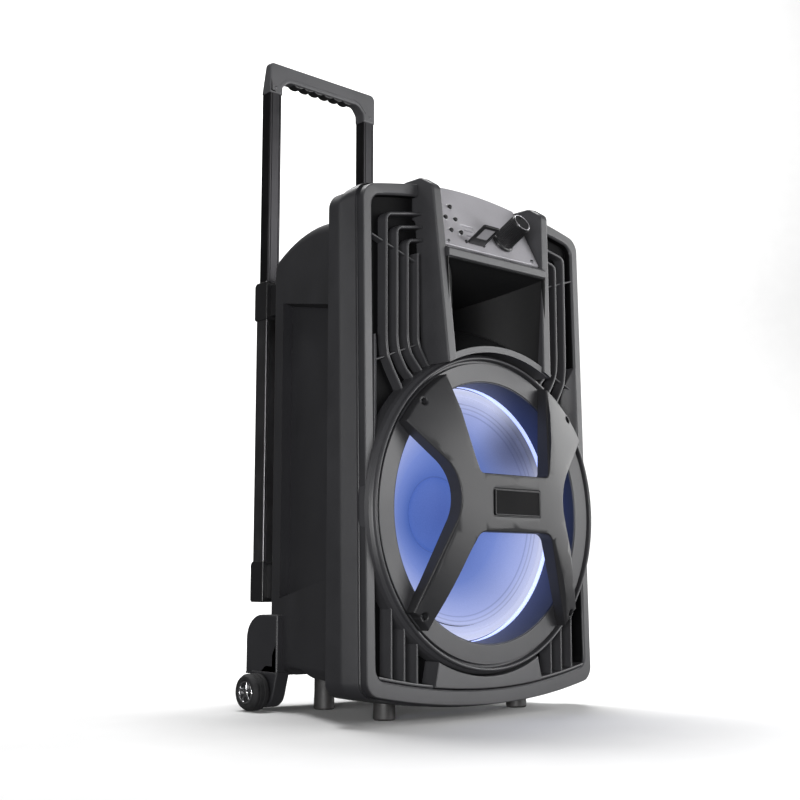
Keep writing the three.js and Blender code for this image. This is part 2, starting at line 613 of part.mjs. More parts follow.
function makeHandle() {
  makeBracket("handle_bracket_upper", 549, 606, 111, 520, 600);
  makeBracket("handle_bracket_lower", 140, 198, 111, 146, 230);
  for (const [name, side] of Object.entries(SIDES)) {
    const x = side * TUBE_X;
    addPart("outer_tube_" + name, boxTube(x, OUTER_TUBE, 147, 599.4, 1.5), FINISH.steel);
    addPart("inner_tube_" + name, boxTube(x, INNER_TUBE, 510, GRIP_BOTTOM - GAP, 1.5), FINISH.steel);
  }
  const low = GRIP_BOTTOM;
  const face = new THREE.Shape();
  face.moveTo(-105, low);
  face.lineTo(-80, low);
  face.lineTo(-80, low + 12);
  face.quadraticCurveTo(-78, 921, -62, 923);
  face.lineTo(62, 923);
  face.quadraticCurveTo(78, 921, 80, low + 12);
  face.lineTo(80, low);
  face.lineTo(105, low);
  face.lineTo(105, GRIP_TOP - 12);
  face.quadraticCurveTo(104, GRIP_TOP, 92, GRIP_TOP);
  face.lineTo(-92, GRIP_TOP);
  face.quadraticCurveTo(-104, GRIP_TOP, -105, GRIP_TOP - 12);
  const front = TUBE_Y - INNER_TUBE.depth / 2 - 1;
  const section = outline([[front, low], [TUBE_Y + 11, low], [TUBE_Y + 11, low + 14],
    [front + 12, GRIP_TOP], [front, GRIP_TOP]]);
  addPart("handle_grip", alongY(face, 300, 420).intersect(alongX(section, -140, 140)), FINISH.gloss);
}

// ---------- wheels and feet ----------

function makeWheel(name, side) {
  const inner = 165;
  const outer = 190;
  const housingFace = outline([[246, 46], [318, 46], [318, 112], [311, 122], [298, 126], [246, 126]]);
  const boss = union(
    alongX(housingFace, Math.min(side * 104, side * 156), Math.max(side * 104, side * 156)),
    alongX(outline([[250, 48], [296, 48], [288, 14], [278, 5], [262, 5], [254, 14]]),
      Math.min(side * 138, side * 160), Math.max(side * 138, side * 160)));
  const clearance = rearBlock(-0.4).subtract(block(-300, 300, 0, FRAME_BACK + 3, 0, 700));
  const housing = boss.subtract(clearance).subtract(block(-300, 300, 0, 251, 0, 47.5))
    .subtract(turnedOnX([[0, -200], [4.2, -200], [4.2, 200], [0, 200]], WHEEL_Y, WHEEL_Z, 16));
  addPart("wheel_housing_" + name, housing, FINISH.gloss);

  const turned = (profile, segments) => turnedOnX(
    profile.map(([r, x]) => [r, side * x]), WHEEL_Y, WHEEL_Z, segments);
  const hubRadius = 15.5;
  addPart("tyre_" + name, turned([[hubRadius + GAP, inner], [WHEEL_RADIUS - 3, inner],
    [WHEEL_RADIUS, inner + 4], [WHEEL_RADIUS, outer - 5], [WHEEL_RADIUS - 4, outer],
    [hubRadius + GAP, outer], [hubRadius + GAP, inner]], 24), FINISH.rubber);
  addPart("hub_" + name, turned([[4.3, inner + 1], [hubRadius, inner + 1], [hubRadius, outer - 1],
    [6, outer - 1], [6, outer - 4], [4.3, outer - 4], [4.3, inner + 1]], 24), FINISH.silver);
  addPart("axle_" + name, turned([[0, 134], [4, 134], [4, outer - 4], [0, outer - 4]], 16),
    FINISH.steel);
}

function makeFeet() {
  const places = { front_left: [-121, 71], front_right: [121, 71], rear_left: [-92, 224],
    rear_right: [92, 224] };
  for (const [name, [x, y]] of Object.entries(places)) {
    const profile = [[0, 0], [13, 0], [14, 1.5], [14, 46.7], [0, 46.7]];
    const points = profile.map(([r, z]) => new THREE.Vector2(r, z));
    const post = solid(new THREE.LatheGeometry(points, 24).rotateX(Math.PI / 2).translate(x, y, 0));
    const foot = post.subtract(frameBlock(-GAP, GAP));
    addPart("foot_" + name, foot, FINISH.rubber);
  }
}

makeFrontFrame();
makeBaffle();
makeVents();
makeFascia();
makeHorn();
makeRing();
makeBezel();
makeWoofer();
makeRearShell();
makeRearPlate();
makeElectronics();
placePanelGroup();
makeControlPanel();
makeHandle();
Object.entries(SIDES).forEach(([name, side]) => makeWheel(name, side));
makeFeet();

parts.position.y = -BODY_CENTRE_Y;
const group = new THREE.Group();
group.add(parts);

export default group;
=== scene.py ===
"""Looks of a trolley party speaker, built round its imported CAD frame.

Sizes are in millimetres in the design frame: +Z up, the front faces -Y, and Y = 0 is the face of
the woofer ring. Each piece is drawn there, and piece() moves it to the frame's own place.
"""
import math

import bmesh
import bpy
import numpy as np
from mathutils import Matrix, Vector
from mathutils.geometry import delaunay_2d_cdt


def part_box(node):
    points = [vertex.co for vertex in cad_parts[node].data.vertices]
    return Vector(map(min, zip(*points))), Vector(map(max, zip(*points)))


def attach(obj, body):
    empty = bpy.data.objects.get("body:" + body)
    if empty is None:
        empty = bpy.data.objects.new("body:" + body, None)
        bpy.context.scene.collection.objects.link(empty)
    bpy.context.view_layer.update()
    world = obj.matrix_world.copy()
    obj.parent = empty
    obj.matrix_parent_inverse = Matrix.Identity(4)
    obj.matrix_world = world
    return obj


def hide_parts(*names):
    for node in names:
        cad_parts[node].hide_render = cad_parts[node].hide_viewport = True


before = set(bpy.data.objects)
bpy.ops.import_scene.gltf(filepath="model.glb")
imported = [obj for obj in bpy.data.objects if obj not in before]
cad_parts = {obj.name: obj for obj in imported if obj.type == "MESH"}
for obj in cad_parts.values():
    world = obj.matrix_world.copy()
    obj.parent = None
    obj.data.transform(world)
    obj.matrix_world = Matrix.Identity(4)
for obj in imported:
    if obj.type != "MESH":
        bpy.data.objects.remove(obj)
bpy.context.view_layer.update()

MM = 0.001
FRAME_BACK = 69
SHIFT_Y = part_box("front_frame")[1][1] / MM - FRAME_BACK


def extent(node):
    """Lowest and highest corner of a CAD node, in design millimetres."""
    low, high = (Vector(corner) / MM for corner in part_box(node))
    away = Vector((0, SHIFT_Y, 0))
    return low - away, high - away


# Driving dimensions
FACE_HALF = 204.5  # corners of the front face
OPENING_HALF = 190
OPENING_BOTTOM = 56
OPENING_TOP = 645
OPENING_CROWN = 21
FACE_SLOPE = 0.0172
NOTCH_HALF = 112.4  # the panel's notch in the top of the frame
NOTCH_FOOT = 628
BAFFLE_Y = extent("baffle_board")[1].y - 6
RING_LOW, RING_HIGH = extent("woofer_ring")
RING_OUTER = RING_HIGH.x
RING_INNER = 167
WOOFER_Z = (RING_LOW.z + RING_HIGH.z) / 2
PILLAR_HALF = 7.4
PILLAR_TOP = 684
LEAN = math.radians(28)  # control panel, leaning back from upright
PANEL_FOOT_Y = -9
PANEL_FOOT_Z = 595
TUBE_X = 93
TUBE_Y = sum(corner.y for corner in extent("inner_tube_left")) / 2
WHEEL_LOW, WHEEL_HIGH = extent("tyre_right")
WHEEL_Y = (WHEEL_LOW.y + WHEEL_HIGH.y) / 2
WHEEL_Z = (WHEEL_LOW.z + WHEEL_HIGH.z) / 2
WHEEL_RADIUS = (WHEEL_HIGH.z - WHEEL_LOW.z) / 2
SIDES = {"left": -1, "right": 1}


# ---------- outlines ----------

def rounded(corners, steps=5, closed=True):
    """Outline through corners (a, b) or (a, b, radius), with true arcs at the rounded ones."""
    points = []
    count = len(corners)
    for i, corner in enumerate(corners):
        here = Vector(corner[:2])
        radius = corner[2] if len(corner) > 2 else 0
        if not radius or (not closed and i in (0, count - 1)):
            points.append(tuple(here))
            continue
        back = Vector(corners[i - 1][:2]) - here
        ahead = Vector(corners[(i + 1) % count][:2]) - here
        half = back.angle(ahead) / 2
        reach = min(radius / math.tan(half), back.length * 0.49, ahead.length * 0.49)
        start = here + back.normalized() * reach
        end = here + ahead.normalized() * reach
        for k in range(steps + 1):
            t = k / steps
            weights = ((1 - t) ** 2, 2 * t * (1 - t) * math.sin(half), t * t)
            point = (start * weights[0] + here * weights[1] + end * weights[2]) / sum(weights)
            points.append(tuple(point))
    return points


def box_outline(a0, b0, a1, b1, radius=0, steps=5):
    """Rounded rectangle, counter-clockwise."""
    return rounded([(a0, b0, radius), (a1, b0, radius), (a1, b1, radius), (a0, b1, radius)], steps)


def arc(radius, start, end, steps, a=0, b=0):
    """Points of an arc about (a, b), from one angle in degrees to another."""
    turns = [math.radians(start + (end - start) * k / steps) for k in range(steps + 1)]
    return [(a + radius * math.cos(turn), b + radius * math.sin(turn)) for turn in turns]


def circle(radius, a=0, b=0, steps=48):
    return arc(radius, 0, 360, steps, a, b)[:-1]


def flipped(points):
    """The outline mirrored left to right, still counter-clockwise."""
    return [(-a, b) for a, b in reversed(points)]


def counter_clockwise(shape):
    area = sum(a[0] * b[1] - b[0] * a[1] for a, b in zip(shape, shape[1:] + shape[:1]))
    return shape if area > 0 else shape[::-1]


def inset(loop, distance):
    """The loop moved to its left by distance, which is inwards for a counter-clockwise one."""
    moved = []
    for i, point in enumerate(loop):
        here = Vector(point)
        before = (here - Vector(loop[i - 1])).normalized()
        after = (Vector(loop[(i + 1) % len(loop)]) - here).normalized()
        left = Vector((-before.y - after.y, before.x + after.x)).normalized()
        mitre = max(left.dot(Vector((-before.y, before.x))), 0.5)
        moved.append(tuple(here + left * distance / mitre))
    return moved


def inside(points, loops):
    """Which of the points lie inside the loops, by the even-odd rule."""
    hits = np.zeros(len(points), bool)
    for loop in loops:
        corners = np.array(loop)
        for (xa, za), (xb, zb) in zip(corners, np.roll(corners, -1, 0)):
            if za == zb:
                continue
            crossed = (points[:, 1] > za) != (points[:, 1] > zb)
            x_there = xa + (points[:, 1] - za) * (xb - xa) / (zb - za)
            hits ^= crossed & (points[:, 0] < x_there)
    return hits


def filled(loops, spacing):
    """Triangles over an outline and its holes, with inner points every spacing."""
    border = np.array([p for loop in loops for p in loop])
    edges = []
    first = 0
    for loop in loops:
        edges += [(first + i, first + (i + 1) % len(loop)) for i in range(len(loop))]
        first += len(loop)
    low, high = border.min(0), border.max(0)
    across = np.arange(low[0] + spacing / 2, high[0], spacing)
    up = np.arange(low[1] + spacing / 2, high[1], spacing)
    grid = np.array([(a, b) for a in across for b in up]).reshape(-1, 2)
    if len(grid):
        grid = grid[inside(grid, loops)]
    if len(grid):
        nearest = np.sqrt(((grid[:, None] - border[None]) ** 2).sum(2)).min(1)
        grid = grid[nearest > spacing * 0.45]
    points = np.vstack([border, grid]) if len(grid) else border
    made = delaunay_2d_cdt([Vector(p) for p in points], edges, [], 0, 1e-5)
    where = np.array([tuple(v) for v in made[0]])
    middles = np.array([where[list(face)].mean(0) for face in made[2]])
    keep = inside(middles, loops)
    return [tuple(v) for v in where], [f for f, kept in zip(made[2], keep) if kept]


# ---------- bodies ----------

class Body:
    """Vertices and faces of one piece, in design millimetres."""

    def __init__(self):
        self.verts = []
        self.faces = []

    def add(self, made, place=None):
        """Adds a (verts, faces) pair, with each vertex where place(*vertex) puts it."""
        start = len(self.verts)
        self.verts += [place(*v) if place else tuple(v) for v in made[0]]
        self.faces += [tuple(start + i for i in face) for face in made[1]]
        return self


def loft(loops, closed=False, caps=True):
    """Quads between loops that have the same number of points."""
    size = len(loops[0])
    verts = [v for loop in loops for v in loop]
    spans = len(loops) if closed else len(loops) - 1
    faces = []
    for k in range(spans):
        a, b = k * size, ((k + 1) % len(loops)) * size
        faces += [(a + i, a + (i + 1) % size, b + (i + 1) % size, b + i) for i in range(size)]
    if caps and not closed:
        faces.append(tuple(range(size)))
        faces.append(tuple(reversed(range(len(verts) - size, len(verts)))))
    return verts, faces


def lathe(profile, segments=64, closed=False):
    """Profile of (radius, y) turned about the Y axis; radius 0 makes a pole."""
    verts = []
    rings = []
    for radius, y in profile:
        if radius < 1e-6:
            rings.append([len(verts)] * segments)
            verts.append((0, y, 0))
            continue
        rings.append([len(verts) + i for i in range(segments)])
        verts += [(radius * math.cos(2 * math.pi * i / segments), y,
                   radius * math.sin(2 * math.pi * i / segments)) for i in range(segments)]
    pairs = list(zip(rings, rings[1:]))
    if closed:
        pairs.append((rings[-1], rings[0]))
    faces = []
    for a, b in pairs:
        for i in range(segments):
            j = (i + 1) % segments
            corners = dict.fromkeys((a[i], a[j], b[j], b[i]))
            if len(corners) > 2:
                faces.append(tuple(corners))
    return verts, faces


def slab(loops, front, back, bevel=1.0, back_bevel=0.0, spacing=30, steps=4):
    """Panel drawn in X and Z. Its front lies at y = front(x, z) with its edges rounded by bevel,
    and its sides run back to y = back(x, z). Holes are loops that run clockwise."""
    front_y = front if callable(front) else lambda x, z: front
    back_y = back if callable(back) else lambda x, z: back
    rows = []
    for k in range(steps + 1):
        turn = math.pi / 2 * (1 - k / steps)
        rows.append((bevel * (1 - math.cos(turn)), front_y, bevel * (1 - math.sin(turn))))
    for k in range(steps + 1) if back_bevel else [0]:
        turn = math.pi / 2 * k / steps
        rows.append((back_bevel * (1 - math.cos(turn)), back_y, -back_bevel * (1 - math.sin(turn))))
    body = Body()
    for end, turned in ((rows[0], False), (rows[-1], True)):
        shape = [inset(loop, end[0]) for loop in loops]
        flat, triangles = filled(shape, spacing)
        body.add(([(x, end[1](x, z) + end[2], z) for x, z in flat],
                  [tuple(reversed(t)) if turned else t for t in triangles]))
    for loop in loops:
        walls = []
        for distance, height, step in rows:
            walls.append([(x, height(x, z) + step, z) for x, z in inset(loop, distance)])
        verts, faces = loft(walls, caps=False)
        body.add((verts, [tuple(reversed(f)) for f in faces]))
    return body.verts, body.faces


def swept(path, section):
    """Section of (across, y) carried along a path in X and Z, with flat ends."""
    loops = []
    for i, point in enumerate(path):
        before = Vector(path[max(i - 1, 0)])
        after = Vector(path[min(i + 1, len(path) - 1)])
        along = (after - before).normalized()
        across = Vector((along.y, -along.x))
        here = Vector(point)
        loops.append([(here.x + across.x * s, y, here.y + across.y * s) for s, y in section])
    return loft(loops)


def rounded_box(low, high, radius, steps=3):
    """Box with its edges rounded."""
    size = [b - a for a, b in zip(low, high)]
    middle = [(a + b) / 2 for a, b in zip(low, high)]
    bm = bmesh.new()
    bmesh.ops.create_cube(bm, size=1)
    for v in bm.verts:
        v.co = Vector([c * s + m for c, s, m in zip(v.co, size, middle)])
    bmesh.ops.bevel(bm, geom=bm.edges[:], offset=min(radius, min(size) * 0.45), segments=steps,
                    profile=0.5, affect="EDGES", clamp_overlap=True)
    bm.verts.index_update()
    verts = [tuple(v.co) for v in bm.verts]
    faces = [tuple(v.index for v in f.verts) for f in bm.faces]
    bm.free()
    return verts, faces


def new_object(name, verts, faces):
    """Object with a clean mesh, moved from the design frame to the frame's own place."""
    mesh = bpy.data.meshes.new(name)
    mesh.from_pydata([(x * MM, (y + SHIFT_Y) * MM, z * MM) for x, y, z in verts], [], faces)
    bm = bmesh.new()
    bm.from_mesh(mesh)
    bmesh.ops.remove_doubles(bm, verts=bm.verts[:], dist=1e-7)
    bmesh.ops.recalc_face_normals(bm, faces=bm.faces[:])
    bm.to_mesh(mesh)
    bm.free()
    obj = bpy.data.objects.new(name, mesh)
    bpy.context.scene.collection.objects.link(obj)
    return obj


def shade(mesh, angle):
    """Smooth shading, but for edges sharper than angle in degrees."""
    mesh.polygons.foreach_set("use_smooth", [True] * len(mesh.polygons))
    mesh.set_sharp_from_angle(angle=math.radians(angle))


def piece(name, body, material, node=None, rides="cabinet", angle=40):
    """Makes the object from a Body or a (verts, faces) pair, and hides the frame node it stands for."""
    verts, faces = (body.verts, body.faces) if isinstance(body, Body) else body
    obj = new_object(name, verts, faces)
    shade(obj.data, angle)
    obj.data.materials.append(material)
    obj.modifiers.new("even_normals", "WEIGHTED_NORMAL").keep_sharp = True
    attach(obj, rides)
    if node:
        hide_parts(node)
    return obj


def cut(obj, cutter, angle=40):
    """Cuts a (verts, faces) body out of the object's mesh."""
    tool = new_object("tool", *cutter)
    boolean = obj.modifiers.new("cut", "BOOLEAN")
    boolean.object = tool
    boolean.operation = "DIFFERENCE"
    boolean.solver = "EXACT"
    even = obj.modifiers["even_normals"]
    even.show_viewport = False
    bpy.context.view_layer.update()
    evaluated = obj.evaluated_get(bpy.context.evaluated_depsgraph_get())
    obj.data = bpy.data.meshes.new_from_object(evaluated)
    obj.modifiers.remove(boolean)
    even.show_viewport = True
    bpy.data.objects.remove(tool)
    shade(obj.data, angle)


# ---------- materials ----------

class Nodes:
    """A material's node tree, built from short calls."""

    def __init__(self, name):
        self.material = bpy.data.materials.new(name)
        self.material.use_nodes = True
        self.tree = self.material.node_tree
        self.shader = self.tree.nodes["Principled BSDF"]
        self.place = self.tree.nodes.new("ShaderNodeTexCoord").outputs["Object"]

    def add(self, kind, inputs=None, **settings):
        node = self.tree.nodes.new(kind)
        for key, value in settings.items():
            setattr(node, key, value)
        for key, value in (inputs or {}).items():
            self.feed(node.inputs[key], value)
        return node

    def feed(self, socket, value):
        if isinstance(value, bpy.types.NodeSocket):
            self.tree.links.new(value, socket)
        else:
            socket.default_value = value

    def noise(self, per_metre, detail=2.0, rough=0.5, stretch=(1, 1, 1)):
        where = self.add("ShaderNodeMapping", {"Vector": self.place, "Scale": stretch})
        return self.add("ShaderNodeTexNoise", {"Vector": where.outputs[0], "Scale": per_metre,
                                               "Detail": detail, "Roughness": rough}).outputs["Fac"]

    def ramp(self, factor, stops):
        node = self.add("ShaderNodeValToRGB", {"Fac": factor})
        elements = node.color_ramp.elements
        elements.remove(elements[1])
        elements[0].position = stops[0][0]
        for at, _ in stops[1:]:
            elements.new(at)
        for element, (_, colour) in zip(elements, stops):
            element.color = (*colour, 1)
        return node.outputs["Color"]

    def spread(self, factor, low, high):
        return self.add("ShaderNodeMapRange", {"Value": factor, "From Min": 0.3, "From Max": 0.7,
                                               "To Min": low, "To Max": high}).outputs["Result"]

    def math(self, operation, a, b=0.0):
        return self.add("ShaderNodeMath", {0: a, 1: b}, operation=operation).outputs[0]

    def bump(self, height, strength, distance):
        node = self.add("ShaderNodeBump", {"Height": height, "Strength": strength,
                                           "Distance": distance})
        self.feed(self.shader.inputs["Normal"], node.outputs["Normal"])

    def set(self, **values):
        for key, value in values.items():
            self.feed(self.shader.inputs[key.replace("_", " ")], value)
        return self


def tint(colour, factor):
    return tuple(min(1.0, c * factor) for c in colour)


def plastic(name, colour, rough, grain=0.25, size_mm=0.9, patchy=0.12, gloss=0.5):
    """Moulded plastic: a fine spark-eroded grain, with faint handling marks in its gloss."""
    nodes = Nodes(name)
    fine = nodes.noise(1 / (size_mm * MM), 3, 0.6)
    large = nodes.noise(14, 4, 0.55)
    tones = [(0.3, tint(colour, 1 - patchy)), (0.7, tint(colour, 1 + patchy))]
    nodes.set(Base_Color=nodes.ramp(large, tones), Specular_IOR_Level=gloss,
              Roughness=nodes.spread(large, rough - 0.035, rough + 0.035))
    nodes.bump(fine, grain, 0.0004)
    return nodes.material


def smooth_plastic(name, colour, rough, coat=0.0, gloss=0.5):
    """Smooth plastic: a slight orange peel and thin scuffs that show only in its gloss."""
    nodes = Nodes(name)
    peel = nodes.noise(160, 1, 0.4)
    scuff = nodes.noise(420, 2, 0.5, (1, 1, 0.06))
    marks = nodes.math("MULTIPLY", nodes.noise(9, 3), scuff)
    nodes.set(Base_Color=nodes.ramp(peel, [(0.3, tint(colour, 0.94)), (0.7, tint(colour, 1.06))]),
              Roughness=nodes.spread(marks, rough - 0.02, rough + 0.16), Coat_Weight=coat,
              Coat_Roughness=0.12, Specular_IOR_Level=gloss)
    nodes.bump(peel, 0.08, 0.0004)
    return nodes.material


def brushed_metal(name, colour, rough, stretch, metallic=1.0):
    """Drawn metal: long fine lines along the tube, and a few stains in its gloss."""
    nodes = Nodes(name)
    lines = nodes.noise(2600, 2, 0.55, stretch)
    stain = nodes.noise(24, 3, 0.5)
    mixed = nodes.math("ADD", nodes.math("MULTIPLY", lines, 0.5), nodes.math("MULTIPLY", stain, 0.5))
    nodes.set(Base_Color=nodes.ramp(mixed, [(0.3, tint(colour, 0.82)), (0.7, tint(colour, 1.14))]),
              Roughness=nodes.spread(mixed, rough - 0.06, rough + 0.08), Metallic=metallic)
    nodes.bump(lines, 0.12, 0.0002)
    return nodes.material


def rubber(name, colour, rough=0.75):
    """Rubber: a matt skin with dusty patches."""
    nodes = Nodes(name)
    dust = nodes.noise(60, 5, 0.65)
    fine = nodes.noise(2200, 2, 0.5)
    nodes.set(Base_Color=nodes.ramp(dust, [(0.42, colour), (0.72, tint(colour, 1.9))]),
              Roughness=nodes.spread(dust, rough - 0.08, rough + 0.1))
    nodes.bump(fine, 0.3, 0.0003)
    return nodes.material


def metallic_paint(name, colour, rough):
    """Silver paint: fine flakes that vary in brightness and gloss."""
    nodes = Nodes(name)
    flake = nodes.add("ShaderNodeTexVoronoi", {"Vector": nodes.place, "Scale": 1500.0}).outputs["Color"]
    tone = nodes.add("ShaderNodeSeparateColor", {"Color": flake}).outputs[0]
    large = nodes.noise(18, 3)
    both = nodes.math("ADD", nodes.math("MULTIPLY", tone, 0.35), nodes.math("MULTIPLY", large, 0.65))
    nodes.set(Base_Color=nodes.ramp(both, [(0.2, tint(colour, 0.9)), (0.8, tint(colour, 1.08))]),
              Roughness=nodes.spread(both, rough - 0.05, rough + 0.07), Metallic=0.35)
    nodes.bump(tone, 0.05, 0.0002)
    return nodes.material


def from_woofer_axis(nodes):
    """Distance from the woofer's axis, in metres, and the height above it."""
    parts = nodes.add("ShaderNodeSeparateXYZ", {"Vector": nodes.place}).outputs
    up = nodes.math("SUBTRACT", parts["Z"], WOOFER_Z * MM)
    flat = nodes.add("ShaderNodeCombineXYZ", {"X": parts["X"], "Y": 0.0, "Z": up}).outputs[0]
    far = nodes.add("ShaderNodeVectorMath", {0: flat}, operation="LENGTH").outputs["Value"]
    return far, parts["X"], up


def cone_with_painted_light():
    """Paper cone with painted light from the ring round it, as emission: lavender white at its rim, blue in
    the middle.
    """
    nodes = Nodes("cone_paper_painted_light")
    far, across, up = from_woofer_axis(nodes)
    reach = nodes.math("DIVIDE", far, 0.168)
    painted_light_blues = [(0.0, (0.045, 0.1, 0.4)), (0.3, (0.06, 0.13, 0.46)), (0.55, (0.15, 0.23, 0.6)),
             (0.8, (0.38, 0.44, 0.77)), (0.93, (0.64, 0.68, 0.9)), (1.0, (0.76, 0.79, 0.93))]
    # Painted light: the light ring's blue light on the paper, as an emission colour.
    painted_ring_light = nodes.ramp(reach, painted_light_blues)
    # Painted shade: thin darker rings in the painted light, at the dust cap's edge and at the corrugations
    # near the rim.
    rings = [(0.0, (1, 1, 1))]
    for place in (0.305, 0.8, 0.835, 0.865):
        rings += [(place - 0.007, (1, 1, 1)), (place, (0.62, 0.62, 0.62)), (place + 0.007, (1, 1, 1))]
    lines = nodes.ramp(reach, rings)
    # Painted shade on the paper: the painted light is darker in a patch towards the upper right.
    here = nodes.add("ShaderNodeCombineXYZ", {"X": across, "Y": up, "Z": 0.0}).outputs[0]
    away = nodes.add("ShaderNodeVectorMath", {0: here, 1: (0.118, 0.1, 0.0)}, operation="DISTANCE")
    shade_range = {"Value": away.outputs["Value"], "From Min": 0.012, "From Max": 0.085, "To Min": 0.16,
                   "To Max": 1.0}
    dark = nodes.add("ShaderNodeMapRange", shade_range, interpolation_type="SMOOTHSTEP").outputs[0]
    dark = nodes.math("MULTIPLY", dark, lines)
    fibre = nodes.noise(900, 4, 0.7)
    painted_light_level = nodes.math("MULTIPLY", dark, nodes.spread(fibre, 0.93, 1.05))
    nodes.set(Base_Color=nodes.ramp(fibre, [(0.3, (0.05, 0.065, 0.15)), (0.7, (0.07, 0.085, 0.18))]),
              Roughness=0.8, Emission_Color=painted_ring_light, Emission_Strength=nodes.math("MULTIPLY", painted_light_level, 0.8))
    nodes.bump(fibre, 0.25, 0.0004)
    return nodes.material


def tunnel_with_painted_light():
    """The tunnel wall behind the ring's face: dark, with painted blue light from the light ring in its
    colour and its emission, stronger further in.
    """
    nodes = Nodes("tunnel_plastic_painted_light")
    depth = nodes.add("ShaderNodeSeparateXYZ", {"Vector": nodes.place}).outputs["Y"]
    inwards = nodes.add("ShaderNodeMapRange", {"Value": depth, "From Min": SHIFT_Y * MM,
                                               "From Max": (SHIFT_Y + 46) * MM}).outputs[0]
    grain = nodes.noise(1100, 2)
    # Painted light: the base colour turns bluer and the emission brighter towards the light ring.
    nodes.set(Base_Color=nodes.ramp(inwards, [(0.0, (0.018, 0.02, 0.03)), (1.0, (0.02, 0.026, 0.06))]),
              Roughness=nodes.spread(grain, 0.45, 0.55),
              Emission_Color=nodes.ramp(inwards, [(0.0, (0.0, 0.002, 0.012)), (1.0, (0.012, 0.02, 0.075))]),
              Emission_Strength=0.9)
    nodes.bump(grain, 0.2, 0.0003)
    return nodes.material


def light_lens():
    nodes = Nodes("light_ring_lens")
    frost = nodes.noise(700, 2)
    nodes.set(Base_Color=(0.7, 0.75, 1.0, 1), Roughness=nodes.spread(frost, 0.35, 0.5),
              Emission_Color=(0.35, 0.45, 1.0, 1), Emission_Strength=nodes.spread(frost, 0.8, 1.0))
    return nodes.material


def circuit_board():
    """Solder resist with a faint grid of tracks."""
    nodes = Nodes("circuit_board")
    tracks = nodes.add("ShaderNodeTexBrick", {
        "Vector": nodes.place, "Scale": 120.0, "Color1": (0.02, 0.11, 0.04, 1),
        "Color2": (0.03, 0.15, 0.06, 1), "Mortar": (0.2, 0.16, 0.05, 1), "Mortar Size": 0.006})
    nodes.set(Base_Color=tracks.outputs["Color"], Roughness=nodes.spread(nodes.noise(90), 0.35, 0.5))
    return nodes.material


SHELL = plastic("shell_black_plastic", (0.026, 0.026, 0.029), 0.46)
REAR = plastic("rear_shell_plastic", (0.022, 0.022, 0.025), 0.52, grain=0.4, size_mm=1.3)
FACE = plastic("front_face_plastic", (0.05, 0.05, 0.054), 0.42, grain=0.16, size_mm=0.7)
RECESS = plastic("recess_black_plastic", (0.004, 0.004, 0.0045), 0.7, gloss=0.12)
RING = plastic("ring_satin_plastic", (0.044, 0.044, 0.048), 0.42, grain=0.12, size_mm=0.6)
BEZEL = plastic("bezel_satin_plastic", (0.024, 0.024, 0.026), 0.44, grain=0.12, size_mm=0.6, gloss=0.4)
HORN = smooth_plastic("horn_smooth_plastic", (0.006, 0.006, 0.0065), 0.5, gloss=0.2)
GLOSS = smooth_plastic("gloss_black_plastic", (0.01, 0.01, 0.011), 0.2, coat=0.5)
SOFT_BLACK = smooth_plastic("soft_black_plastic", (0.013, 0.013, 0.014), 0.38)
SILVER = metallic_paint("panel_silver_paint", (0.5, 0.49, 0.52), 0.36)
TUBE = brushed_metal("tube_satin_metal", (0.05, 0.049, 0.052), 0.38, (1, 1, 0.02))
# A brighter copy of the tube metal: painted light on the outer tubes, which the cabinet shades from the
# lamps.
PAINTED_LIGHT_TUBE = brushed_metal("outer_tube_metal_painted_light", (0.17, 0.168, 0.175), 0.36, (1, 1, 0.02))
CAP = brushed_metal("cap_turned_metal", (0.62, 0.62, 0.64), 0.4, (0.5, 0.5, 0.5))
CHROME = brushed_metal("hub_plated_metal", (0.66, 0.66, 0.68), 0.22, (0.6, 0.6, 0.6))
SCREW = brushed_metal("screw_black_zinc", (0.16, 0.16, 0.17), 0.35, (0.7, 0.7, 0.7))
STEEL = brushed_metal("painted_steel", (0.06, 0.06, 0.065), 0.45, (1, 1, 1), 0.6)
COPPER = brushed_metal("enamelled_copper", (0.55, 0.24, 0.11), 0.35, (0.02, 1, 1))
TYRE = rubber("wheel_rubber", (0.012, 0.012, 0.013))
FOOT = rubber("foot_rubber", (0.022, 0.021, 0.021), 0.5)
CLOTH = rubber("spider_cloth", (0.3, 0.18, 0.07), 0.85)
FERRITE = plastic("ferrite_grey", (0.05, 0.05, 0.055), 0.6)
CONE = cone_with_painted_light()
TUNNEL = tunnel_with_painted_light()
LENS = light_lens()
BOARD = circuit_board()
FLOOR = plastic("pale_floor", (0.86, 0.86, 0.86), 0.8, grain=0.02, patchy=0.01)
GRIP = plastic("grip_grey_plastic", (0.08, 0.08, 0.085), 0.42, grain=0.2, size_mm=0.8)


# ---------- front frame ----------

def face_y(x, z, back=0.0):
    """The front face, moved back by so much. It leans back, and its foot bulges a little."""
    across = min(abs(x) / FACE_HALF, 1)
    return 17.5 + back - (650 - z) * (FACE_SLOPE + 0.01 * (1 - across ** 2))


def leaning(at, slope=FACE_SLOPE):
    """Depth that is at y = at half way up, and follows the face's lean."""
    return lambda x, z: at + slope * (z - 400)


def on_face(back):
    return lambda x, z: face_y(x, z, back)


def opening_low(x, grow=0.0):
    """Height of the opening's crowned lower edge at x."""
    return OPENING_BOTTOM + grow - OPENING_CROWN * (1 - (x / OPENING_HALF) ** 2)


def opening_high(x, grow=0.0):
    return OPENING_TOP + grow + OPENING_CROWN * (1 - (x / OPENING_HALF) ** 2)


